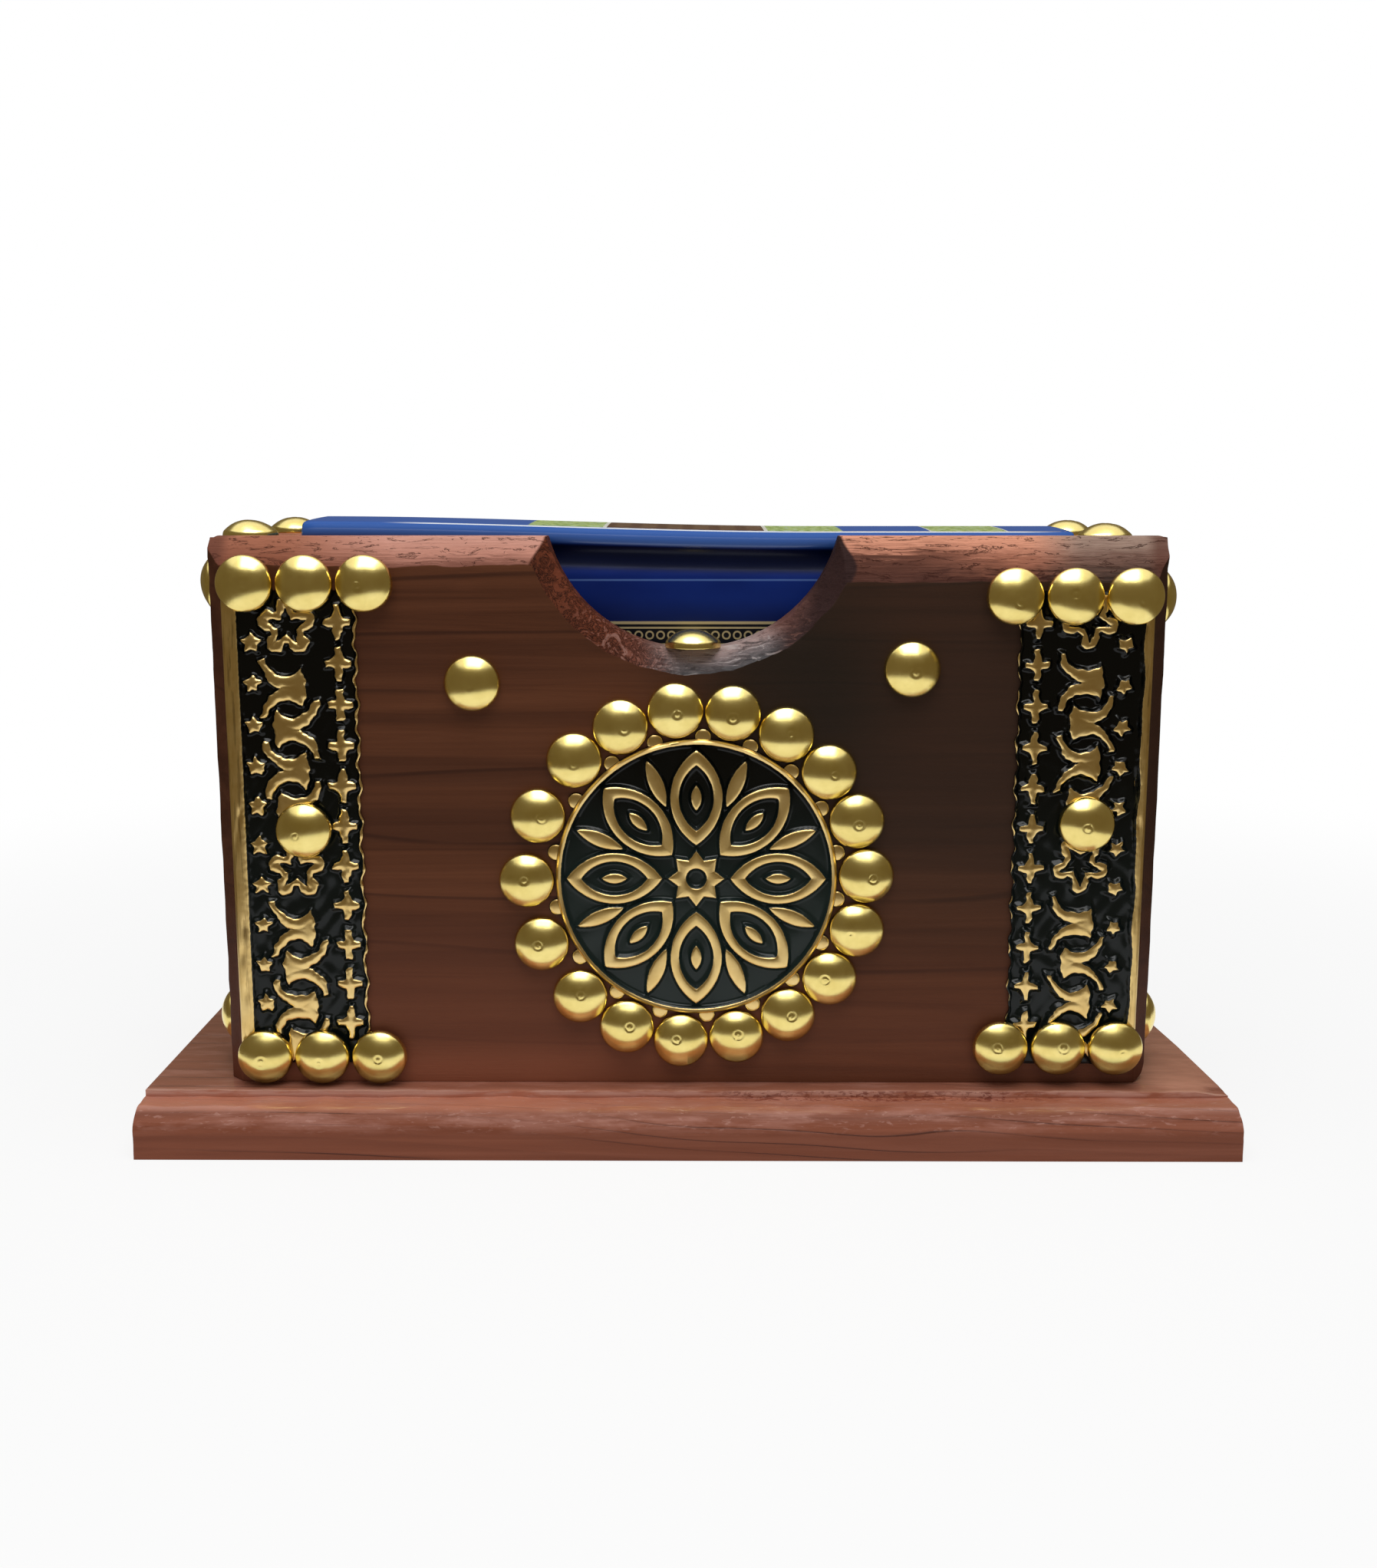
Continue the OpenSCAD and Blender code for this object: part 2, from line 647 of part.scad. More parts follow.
// Pointed petal along +x from the centre, between two arcs
module petal(reach, width) {
  arc_r = (pow(reach / 2, 2) + pow(width / 2, 2)) / width;
  translate([reach / 2, 0]) intersection() {
    translate([0, arc_r - width / 2]) circle(arc_r);
    translate([0, width / 2 - arc_r]) circle(arc_r);
  }
}

// Rosette of outlined petals with leaves in and between them, and a star at the heart
module rosette() {
  for (i = [0 : petals - 1]) rotate(90 + i * 360 / petals) {
    translate([heart_r, 0]) {
      difference() {
        petal(petal_l, petal_w);
        translate([petal_point, 0]) petal(petal_l - 2 * petal_point, petal_w - 2 * rosette_line);
      }
      translate([(petal_l - inner_leaf_l) / 2, 0]) petal(inner_leaf_l, inner_leaf_w);
    }
    rotate(180 / petals) translate([rosette_r - leaf_l, 0]) petal(leaf_l, leaf_w);
  }
  difference() {
    polygon(star_points(petals, heart_star_r, heart_star_inner_r));
    circle(heart_hole_r);
  }
}

// Embossed disc with a raised rim, and small tabs under the ring of studs
module medallion() color(lacquered)
  translate([medallion_shift, front_y, medallion_z]) rotate([90, 0, 0]) {
    linear_extrude(medallion_t) {
      circle(medallion_r);
      for (i = [0 : ring_count - 1])
        rotate((ring_angle(i) + ring_angle(i + 1)) / 2)
          translate([medallion_r, 0]) circle(tab_r);
    }
    linear_extrude(medallion_t + relief_h) {
      difference() {
        circle(medallion_r);
        circle(medallion_r - medallion_rim);
      }
      rosette();
    }
  }

// Section of the volume's cover, front to back and up from the seat: boards, joints and spine
module cover_section() {
  half = volume_d / 2;
  spine_z = volume_h - spine_crown - spine_edge;
  for (flip = [0, 1]) mirror([flip, 0]) {
    translate([half - cover_t, 0]) square([cover_t, board_h]);
    translate([half - cover_t, board_h - eps]) square([joint_t, joint_h + 2 * eps]);
    translate([half - cover_t, spine_z]) square([cover_t, spine_edge]);
  }
  intersection() {
    translate([0, volume_h - crown_r]) circle(crown_r, $fn = 360);
    translate([-half, pages_top]) square([volume_d, cover_t + spine_crown]);
  }
}

module volume_cover() color(book_blue)
  translate([-volume_w / 2, 0, volume_z]) rotate([90, 0, 90])
    linear_extrude(volume_w) cover_section();

module volume_pages() color(paper_white)
  translate([-pages_w / 2, -pages_d / 2, volume_z + cover_square])
    cube([pages_w, pages_d, pages_top - cover_square]);

// Corded bands at both ends of the spine, against the pages
module volume_headbands() color(band_red) for (side = [-1, 1])
  translate([side * (pages_w + headband_d) / 2, pages_d / 2, volume_z + pages_top - headband_d / 2])
    rotate([90, 0, 0]) cylinder(d = headband_d, h = pages_d);

plinth();
front_board();
back_board();
left_board();
right_board();
plinth_screws();
corner_pins();
front_left_strip();
front_right_strip();
left_front_strip();
left_rear_strip();
right_front_strip();
right_rear_strip();
medallion();
medallion_studs();
field_studs();
notch_stud();
front_left_studs();
front_right_studs();
left_side_studs();
right_side_studs();
left_rim_studs();
right_rim_studs();
volume_cover();
volume_pages();
volume_headbands();
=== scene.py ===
# Looks of an open wooden book box with brass studs, embossed strips, a medallion and a bound volume
import math

import bmesh
import bpy
import numpy as np
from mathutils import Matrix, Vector, noise


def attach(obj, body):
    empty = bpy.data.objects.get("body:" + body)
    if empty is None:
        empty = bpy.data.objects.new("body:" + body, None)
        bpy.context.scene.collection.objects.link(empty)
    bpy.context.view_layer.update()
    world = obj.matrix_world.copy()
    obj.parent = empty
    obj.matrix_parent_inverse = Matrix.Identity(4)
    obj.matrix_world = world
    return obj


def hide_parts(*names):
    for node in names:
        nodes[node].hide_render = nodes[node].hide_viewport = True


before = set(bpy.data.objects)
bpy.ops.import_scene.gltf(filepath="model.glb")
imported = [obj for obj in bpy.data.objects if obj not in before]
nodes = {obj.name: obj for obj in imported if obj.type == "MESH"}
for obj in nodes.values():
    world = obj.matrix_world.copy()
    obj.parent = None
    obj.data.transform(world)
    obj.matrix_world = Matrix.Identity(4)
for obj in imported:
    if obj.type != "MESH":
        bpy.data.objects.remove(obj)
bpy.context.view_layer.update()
MM = 0.001

# Sizes of the part in millimetres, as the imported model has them
FRONT_Y, BACK_Y, SIDE_X = -52.0, 52.0, 135.0
FRONT_INNER_Y = -35.0
RIM_Z = 174.0
BEVEL_FOOT, BEVEL_TOP, RIGHT_BEVEL_DROP = 166.8, 174.8, 4.5
NOTCH_X, NOTCH_Z, NOTCH_R, NOTCH_BEVEL = 1.5, 185.5, 42.8, 6.3
PLINTH_X, PLINTH_Y, PLINTH_TOP = 157.5, 72.5, 16.0
STEP_Y = -59.4
END_SLANT = math.tan(math.radians(4.8))
STRIP_EDGE, SIDE_EDGE = 4.5, 11.5
STRIP_W, STRIP_LEN, STRIP_Z, STRIP_FACE = 38.0, 138.0, 22.0, 2.0
BAND_W, BEAD_W = 4.0, 1.0
MEDALLION_X, MEDALLION_Z, MEDALLION_R = 2.5, 77.8, 40.5
STUD_R, STUD_H, STUD_EDGE = 8.0, 5.2, 1.5
COVER_X, COVER_FOOT, COVER_TOP = 112.0, 16.2, 179.7

# Places in the looks, in millimetres
LAYER_STEP = 19.0
DARK_PATCH_X, DARK_PATCH_Z = 28.0, 130.0
MITRE_OUT, MITRE_IN = 7.2, 7.0
PAINTED_REFLECTION_FROM, PAINTED_REFLECTION_TO, RIGHT_HIGHER = 23.8, 20.4, 3.0
LEAN, LEAN_FROM, LEAN_TO = 3.0, -112.0, 38.0
FRAME_X, FRAME_Z, FRAME_MID, FRAME_STEP = 98.0, 61.2, 88.6, 3.2
FIELD_MID, FIELD_MID_W, FIELD_SIDE, FIELD_END, FIELD_END_W = -0.8, 47.0, 34.7, 81.9, 22.2
LATTICE = 7.8


# Small shader graphs

def shader_node(tree, kind, operation=None, **values):
    """Node of a kind with its operation, and inputs set by name; From_Min stands for From Min."""
    node = tree.nodes.new("ShaderNode" + kind)
    if operation:
        node.operation = operation
    for name, value in values.items():
        node.inputs[name.replace("_", " ")].default_value = value
    return node


class Value:
    """A socket of a graph; arithmetic on it adds nodes to the graph."""

    def __init__(self, graph, socket):
        self.graph, self.socket = graph, socket

    def __add__(self, other):
        return self.graph.math("ADD", self, other)

    def __radd__(self, other):
        return self.graph.math("ADD", other, self)

    def __sub__(self, other):
        return self.graph.math("SUBTRACT", self, other)

    def __rsub__(self, other):
        return self.graph.math("SUBTRACT", other, self)

    def __mul__(self, other):
        return self.graph.math("MULTIPLY", self, other)

    def __truediv__(self, other):
        return self.graph.math("DIVIDE", self, other)

    def __mod__(self, other):
        return self.graph.math("FLOORED_MODULO", self, other)

    def __abs__(self):
        return self.graph.math("ABSOLUTE", self)


class Graph:
    """One procedural material, built from short calls. Coordinates are millimetres of the part."""

    SOCKETS = {"colour": "Base Color", "metal": "Metallic", "rough": "Roughness",
               "specular": "Specular IOR Level", "coat": "Coat Weight",
               "coat_rough": "Coat Roughness", "sheen": "Sheen Weight"}

    def __init__(self, name):
        self.material = bpy.data.materials.new(name)
        self.material.use_nodes = True
        self.tree = self.material.node_tree
        self.shader = self.tree.nodes["Principled BSDF"]
        scale = self.node("VectorMath", "SCALE", Scale=1 / MM)
        self.tree.links.new(self.node("TexCoord").outputs["Object"], scale.inputs[0])
        self.point = Value(self, scale.outputs[0])
        self.x, self.y, self.z = self.split(self.point)

    def node(self, kind, operation=None, **values):
        return shader_node(self.tree, kind, operation, **values)

    def feed(self, socket, value):
        if isinstance(value, Value):
            self.tree.links.new(value.socket, socket)
        else:
            socket.default_value = value

    def split(self, vector):
        node = self.node("SeparateXYZ")
        self.feed(node.inputs[0], vector)
        return [Value(self, socket) for socket in node.outputs]

    def math(self, operation, a, b=0.0):
        node = self.node("Math", operation)
        self.feed(node.inputs[0], a)
        self.feed(node.inputs[1], b)
        return Value(self, node.outputs[0])

    def most(self, a, b):
        return self.math("MAXIMUM", a, b)

    def rise(self, value, low, high):
        """Smooth step from 0 at low to 1 at high; low may be the larger."""
        node = self.node("MapRange")
        node.interpolation_type = "SMOOTHSTEP"
        self.feed(node.inputs["Value"], value)
        self.feed(node.inputs["From Min"], low)
        self.feed(node.inputs["From Max"], high)
        return Value(self, node.outputs["Result"])

    def band(self, value, middle, half, soft):
        """1 within half of middle, 0 outside, with soft edges."""
        return self.rise(abs(value - middle), half + soft, half - soft)

    def noise(self, stretch, detail=4.0, rough=0.55, warp=0.0, shift=0.0):
        """Noise with this many cycles a millimetre along x, y and z."""
        tex = self.node("TexNoise", Scale=1.0, Detail=detail, Roughness=rough, Distortion=warp)
        place = self.node("VectorMath", "MULTIPLY_ADD")
        self.feed(place.inputs[0], self.point)
        place.inputs[1].default_value = stretch
        place.inputs[2].default_value = (shift, shift, shift)
        self.tree.links.new(place.outputs[0], tex.inputs["Vector"])
        return Value(self, tex.outputs["Fac"])

    def length(self, a, b):
        return self.math("SQRT", a * a + b * b)

    def far(self, x, z):
        """Distance from an axis along y, in millimetres."""
        return self.length(self.x - x, self.z - z)

    def ramp(self, fac, *stops):
        """Colour by fac, from stops (place, colour)."""
        node = self.node("ValToRGB")
        self.feed(node.inputs[0], fac)
        parts = node.color_ramp.elements
        while len(parts) < len(stops):
            parts.new(0.5)
        for part, (place, colour) in zip(parts, stops):
            part.position = place
            part.color = (*colour, 1.0)
        return Value(self, node.outputs[0])

    def mix(self, fac, a, b):
        node = self.node("Mix")
        node.data_type = "RGBA"
        self.feed(node.inputs[0], fac)
        for socket, value in ((node.inputs[6], a), (node.inputs[7], b)):
            self.feed(socket, value if isinstance(value, Value) else (*value, 1.0))
        return Value(self, node.outputs[2])

    def attribute(self, name):
        node = self.node("Attribute")
        node.attribute_name = name
        return Value(self, node.outputs["Fac"])

    def normal(self):
        return self.split(Value(self, self.node("NewGeometry").outputs["Normal"]))

    def bump(self, height, depth_mm, strength=1.0):
        node = self.node("Bump", Strength=strength, Distance=depth_mm * MM)
        self.feed(node.inputs["Height"], height)
        self.tree.links.new(node.outputs[0], self.shader.inputs["Normal"])

    def set(self, **values):
        for key, value in values.items():
            self.feed(self.shader.inputs[self.SOCKETS[key]], value)


# Materials

def board_wood():
    """Dark stained boards; the planed bevels of rim and notch are lighter, redder and rougher."""
    g = Graph("board_wood")
    streak = g.noise((0.006, 0.2, 0.22), 5.0, 0.6, 0.6)
    fine = g.noise((0.045, 1.5, 1.5), 5.0, 0.7, 0.2, 7.0)
    broad = g.noise((0.0022, 0.085, 0.085), 1.5, 0.45, 0.2, 3.0)
    face = g.ramp(streak, (0.3, (0.078, 0.024, 0.009)), (0.5, (0.116, 0.037, 0.0145)),
                  (0.72, (0.15, 0.05, 0.0205)))
    face = g.mix(g.rise(broad, 0.46, 0.58) * 0.42, face, (0.05, 0.016, 0.0075))
    bend = g.noise((0.0032, 0.02, 0.02), 2.0, 0.5, 0.2, 51.0)
    layer = g.z / LAYER_STEP + bend * 2.4
    turn = g.math("FRACT", g.math("FLOOR", layer) * 0.618)
    face = g.mix(turn * 0.3, face, (0.05, 0.0155, 0.0072))
    faint = g.noise((0.012, 0.05, 0.05), 2.0, 0.5, 0.0, 61.0)
    line = g.band(g.math("FRACT", layer), 0.965, 0.03, 0.028) * g.rise(faint, 0.4, 0.56)
    face = g.mix(line * 0.5, face, (0.024, 0.0075, 0.004))
    front = g.math("LESS_THAN", g.y, FRONT_INNER_Y)
    # Darker towards the upper right of the front: painted shade.
    right = g.rise(g.x + g.z * 0.42, 30.0, 96.0) * front * g.rise(g.z, 40.0, 95.0)
    face = g.mix(right * 0.78, face, (0.03, 0.017, 0.0108))
    # A darker round patch on the front, right of the middle.
    dark_patch = g.rise(g.far(DARK_PATCH_X, DARK_PATCH_Z), 46.0, 10.0) * front
    face = g.mix(dark_patch * 0.7, face, (0.0125, 0.0105, 0.007))
    # Lighter towards the foot of the front, most at the lower left: painted light from the floor below.
    reach = 66.0 + g.rise(g.x, -20.0, -70.0) * 26.0
    foot = g.rise(g.z, reach, PLINTH_TOP)
    paler = 0.55 - g.rise(g.x, -15.0, 20.0) * 0.18
    face = g.mix(foot * paler, face, (0.215, 0.066, 0.034))
    lit = g.rise(g.z, 31.0, 17.0) * g.rise(g.x, 0.0, -45.0)
    face = g.mix(lit * 0.7, face, (0.31, 0.098, 0.05))

    patch = g.noise((0.03, 0.06, 0.06), 3.0, 0.6, 0.3, 15.0)
    rough_grain = fine + patch * 0.6 - 0.8
    foot_z = BEVEL_FOOT - g.math("GREATER_THAN", g.x, 0.0) * RIGHT_BEVEL_DROP
    climb = (g.z - foot_z) / (BEVEL_TOP - foot_z) + rough_grain
    left = g.ramp(climb, (0.0, (0.215, 0.082, 0.056)), (0.42, (0.54, 0.245, 0.178)),
                  (1.0, (0.65, 0.325, 0.25)))
    left_end = g.ramp(climb, (0.1, (0.23, 0.075, 0.042)), (0.9, (0.4, 0.15, 0.088)))
    left = g.mix(g.rise(g.x, -80.0, -116.0), left, left_end)
    right_rim = g.ramp(climb, (0.05, (0.07, 0.024, 0.016)), (0.5, (0.42, 0.16, 0.098)),
                       (0.95, (0.79, 0.35, 0.225)))
    right_end = g.ramp(climb, (0.05, (0.05, 0.03, 0.024)), (0.5, (0.2, 0.107, 0.08)),
                       (0.95, (0.4, 0.27, 0.21)))
    aged = g.rise(g.x, 94.0, 112.0) * g.rise(g.y, 10.0, -30.0)
    right_rim = g.mix(aged, right_rim, right_end)
    # Darker low on the right rim bevel towards the notch: painted shade.
    rim_painted_shade = g.rise(g.x, 96.0, 56.0) * g.rise(climb, 0.78, 0.48)
    right_rim = g.mix(rim_painted_shade * 0.85, right_rim, (0.08, 0.029, 0.02))
    planed = g.mix(g.rise(g.x, -2.0, 2.0), left, right_rim)
    scar = g.noise((0.075, 0.22, 0.38), 5.0, 0.72, 1.8, 11.0)
    marked = g.most(g.band(scar, 0.6, 0.018, 0.01), g.rise(scar, 0.66, 0.69))
    planed = g.mix(marked * 0.85, planed, (0.06, 0.018, 0.012))

    from_notch = g.far(NOTCH_X, NOTCH_Z)
    out = (from_notch - NOTCH_R) / NOTCH_BEVEL + rough_grain
    cut = g.ramp(out, (0.1, (0.165, 0.043, 0.02)), (0.9, (0.125, 0.034, 0.016)))
    cut = g.mix(g.rise(g.x, -27.0, -8.0), cut, (0.19, 0.068, 0.046))
    scribble = g.noise((0.19, 0.19, 0.17), 4.0, 0.62, 3.0, 27.0)
    lines = g.most(g.band(scribble, 0.485, 0.016, 0.01), g.band(scribble, 0.565, 0.022, 0.01))
    lines = lines * g.rise(g.x, 6.0, -8.0)
    cut = g.mix(lines * 0.85, cut, (0.014, 0.005, 0.003))
    fleck = g.rise(scribble, 0.45, 0.36) * g.band(g.x, -15.0, 13.0, 8.0)
    cut = g.mix(fleck * 0.55, cut, (0.33, 0.185, 0.15))
    silver = g.ramp(out, (0.05, (0.38, 0.27, 0.25)), (0.5, (0.19, 0.152, 0.15)),
                    (0.9, (0.085, 0.079, 0.081)))
    grey = g.rise(g.z, 153.0, 145.0) * g.rise(g.x, -15.0, 0.0)
    scuff = g.noise((0.085, 0.42, 0.6), 4.0, 0.7, 0.9, 33.0)
    silver = g.mix(g.rise(scuff, 0.54, 0.64) * 0.6, silver, (0.48, 0.415, 0.4))
    silver = g.mix(g.rise(scuff, 0.47, 0.38) * 0.7, silver, (0.05, 0.04, 0.04))
    cut = g.mix(grey, cut, silver)
    right_cut_and_shade = g.ramp(out, (0.1, (0.11, 0.048, 0.04)), (0.8, (0.046, 0.024, 0.022)))
    right_cut_and_shade = g.mix(g.rise(scuff, 0.52, 0.64) * 0.55, right_cut_and_shade, (0.21, 0.095, 0.072))
    # The right part of the notch bevel has its own purple-brown wood, darker still towards the right:
    # painted shade.
    right_cut_and_shade = g.mix(g.rise(g.x, 30.0, 38.0), right_cut_and_shade, (0.036, 0.0165, 0.015))
    cut = g.mix(g.rise(g.x, 21.0, 30.0), cut, right_cut_and_shade)
    mitre = NOTCH_R + MITRE_OUT - g.rise(g.z, 165.0, 176.0) * MITRE_IN
    near = g.rise(mitre - from_notch, -0.5, 0.5) * front
    planed = g.mix(near, planed, cut)
    # Darker towards the rounded side edges: painted shade.
    tip = g.rise(abs(g.x), SIDE_X - 7.0, SIDE_X - 2.5)
    planed = g.mix(tip * 0.75, planed, (0.12, 0.04, 0.026))
    face = g.mix(tip * 0.5, face, (0.04, 0.0135, 0.008))

    _, ny, nz = g.normal()
    slope = g.rise(abs(ny), 0.98, 0.84)
    inward = g.math("LESS_THAN", abs(g.x), SIDE_X - 7.0)
    top = g.rise(nz, 0.12, 0.35)
    worked = slope * g.most(inward, top) * g.math("LESS_THAN", g.y, 0.0)
    worked = g.most(worked, top) * g.rise(g.z, 118.0, 124.0)
    g.set(colour=g.mix(worked, face, planed), rough=0.4 + fine * 0.14 + worked * 0.1)
    g.set(specular=0.16 - g.most(worked, tip) * 0.1)
    dug = marked + lines * near
    g.bump(fine * (0.2 + worked * 0.9) - dug * worked * 0.8, 0.55, 0.65)
    return g.material


def plinth_wood():
    """Red-brown board with long thin grain lines and rubbed upper edges, paler partly from painted
    highlights, with a top lightened by painted light.
    """
    g = Graph("plinth_wood")
    streak = g.noise((0.007, 0.16, 0.24), 4.0, 0.55, 0.6, 21.0)
    fine = g.noise((0.05, 1.1, 1.4), 5.0, 0.7, 0.2, 4.0)
    wood = g.ramp(streak, (0.3, (0.205, 0.058, 0.029)), (0.52, (0.258, 0.078, 0.04)),
                  (0.74, (0.315, 0.105, 0.06)))
    bend = g.noise((0.0045, 0.012, 0.03), 2.0, 0.5, 0.3, 33.0)
    rings = g.math("FRACT", g.z * 0.23 + g.x * 0.01 + g.y * 0.12 + bend * 7.0)
    faint = g.noise((0.011, 0.08, 0.08), 2.0, 0.5, 0.0, 41.0)
    vein = g.band(rings, 0.88, 0.035, 0.03) * g.rise(faint, 0.42, 0.6)
    wood = g.mix(g.rise(rings, 0.35, 0.88) * 0.16, wood, (0.11, 0.028, 0.014))
    wood = g.mix(vein * 0.85, wood, (0.055, 0.015, 0.009))
    patch = g.noise((0.05, 0.2, 0.24), 4.0, 0.62, 0.2, 9.0)
    worn = patch + fine * 0.3
    rub = g.rise(g.z, 6.5, 12.0) * g.rise(worn, 0.58, 0.86)
    front = g.rise(g.y, -56.0, -60.0)
    shelf = front * g.rise(g.z, 12.6, 14.2)
    pale = g.mix(g.rise(g.x, -50.0, 0.0), (0.6, 0.232, 0.142), (0.47, 0.17, 0.098))
    wood = g.mix(shelf * 0.85, wood, pale)
    low = g.rise(g.z, 10.0, 7.0) * g.rise(g.x, -65.0, -15.0)
    wood = g.mix(low * 0.22, wood, (0.13, 0.036, 0.018))
    # Pale rubbed patches on the rounded upper front: wear, and partly a painted sheen.
    wood = g.mix(rub * 0.62, wood, (0.5, 0.235, 0.18))
    # Paler crest along the step's edge: wear, and partly a painted highlight.
    crest = g.band(g.y, STEP_Y, 1.1, 0.5) * g.rise(g.z, 14.2, 15.2)
    wood = g.mix(crest * g.rise(worn, 0.5, 0.7), wood, (0.64, 0.345, 0.265))
    # Pale flecks on the upper front: marks, and partly a painted sheen.
    fleck = g.rise(g.noise((0.3, 0.85, 0.95), 3.0, 0.6, 0.4, 55.0), 0.58, 0.7)
    fleck = fleck * front * g.rise(g.z, 7.0, 11.0)
    wood = g.mix(fleck * 0.38, wood, (0.6, 0.33, 0.27))
    scuff = g.band(g.y, -60.6, 1.3, 0.5) * g.band(g.x, 58.0, 46.0, 10.0)
    scuff = scuff * g.rise(g.noise((0.5, 0.9, 0.9), 3.0, 0.65, 0.5, 71.0), 0.48, 0.58)
    wood = g.mix(scuff * 0.75, wood, (0.17, 0.026, 0.012))
    # The top behind the step is made lighter: painted light.
    top_painted_light = g.rise(g.y, -60.5, -58.0) * g.rise(g.z, 15.2, 15.9)
    wood = g.mix(top_painted_light * 0.38, wood, (0.4, 0.17, 0.112))
    # Paler, blotchy top at the right-hand end: painted light.
    end_painted_light = top_painted_light * g.rise(g.x, SIDE_X - 14.0, SIDE_X + 8.0) * g.rise(g.y, 45.0, 5.0)
    end_painted_light = end_painted_light * (0.46 + g.rise(worn, 0.4, 0.9) * 0.4)
    wood = g.mix(end_painted_light, wood, (0.66, 0.3, 0.195))
    g.set(colour=wood, rough=0.38 + fine * 0.18, specular=0.2)
    flat = g.rise(g.normal()[2], 0.8, 0.97)
    g.set(coat=flat * 0.75, coat_rough=0.16)
    g.bump(fine * 0.4 - vein * 0.6, 0.4, 0.6)
    return g.material


def stud_brass():
    """Satin brass with faint cloudy tarnish."""
    g = Graph("stud_brass")
    tone = g.noise((0.14, 0.14, 0.14), 3.0, 0.6)
    cloud = g.noise((0.42, 0.42, 0.42), 3.0, 0.55, 0.0, 5.0)
    colour = g.ramp(tone, (0.35, (0.89, 0.71, 0.235)), (0.65, (0.985, 0.815, 0.305)))
    # Dull greenish tint low on the studs by the plinth: painted reflection.
    higher = g.math("GREATER_THAN", g.x, 0.0) * RIGHT_HIGHER
    painted_reflection = g.rise(g.z - higher, PAINTED_REFLECTION_FROM, PAINTED_REFLECTION_TO)
    colour = g.mix(painted_reflection * 0.9, colour, (0.5, 0.505, 0.185))
    g.set(colour=colour, metal=1.0, rough=0.205 + cloud * 0.06)
    g.bump(cloud, 0.04, 0.35)
    return g.material


def lacquered_brass():
    """Gold on the raised pattern, black lacquered ground and slopes, greyer low down as a painted
    sheen.
    """
    g = Graph("lacquered_brass")
    rub = g.noise((0.55, 0.55, 0.55), 4.0, 0.65)
    depth = g.attribute("depth") + (rub - 0.5) * 0.4 - g.rise(g.x, 60.0, 90.0) * 0.26
    low = g.rise(g.z, 100.0, 60.0) * g.rise(abs(g.x), 60.0, 90.0)
    gold = g.rise(depth - low * 0.12, -0.16, -0.02)
    tone = g.noise((0.16, 0.16, 0.16), 3.0, 0.6, 0.0, 9.0)
    bright = g.ramp(tone, (0.3, (0.81, 0.56, 0.205)), (0.7, (0.95, 0.705, 0.3)))
    band_x = SIDE_X - STRIP_EDGE - BAND_W
    edge = g.rise(abs(g.x), band_x, band_x + 1.0)
    streak = g.rise(g.noise((1.1, 1.1, 0.07), 3.0, 0.6, 0.3, 17.0), 0.5, 0.66)
    bright = g.mix(edge * streak * 0.6, bright, (0.3, 0.19, 0.07))
    # Black lacquer, greyer towards the foot: painted sheen.
    lacquer_and_sheen = g.mix(g.rise(g.z, 118.0, 72.0), (0.0014, 0.0017, 0.0015), (0.0052, 0.008, 0.0074))
    # Greener grey on the lower medallion ground: painted sheen.
    medallion_painted_sheen = g.rise(g.z, 108.0, 66.0) * g.band(g.x, MEDALLION_X, 60.0, 5.0)
    lacquer_and_sheen = g.mix(medallion_painted_sheen, lacquer_and_sheen, (0.012, 0.0205, 0.018))
    colour = g.mix(gold, lacquer_and_sheen, bright)
    g.set(colour=colour, metal=gold, rough=0.2 + gold * 0.11, specular=0.26)
    g.bump(g.noise((1.1, 1.1, 1.1), 4.0, 0.7), 0.05, 0.35)
    return g.material


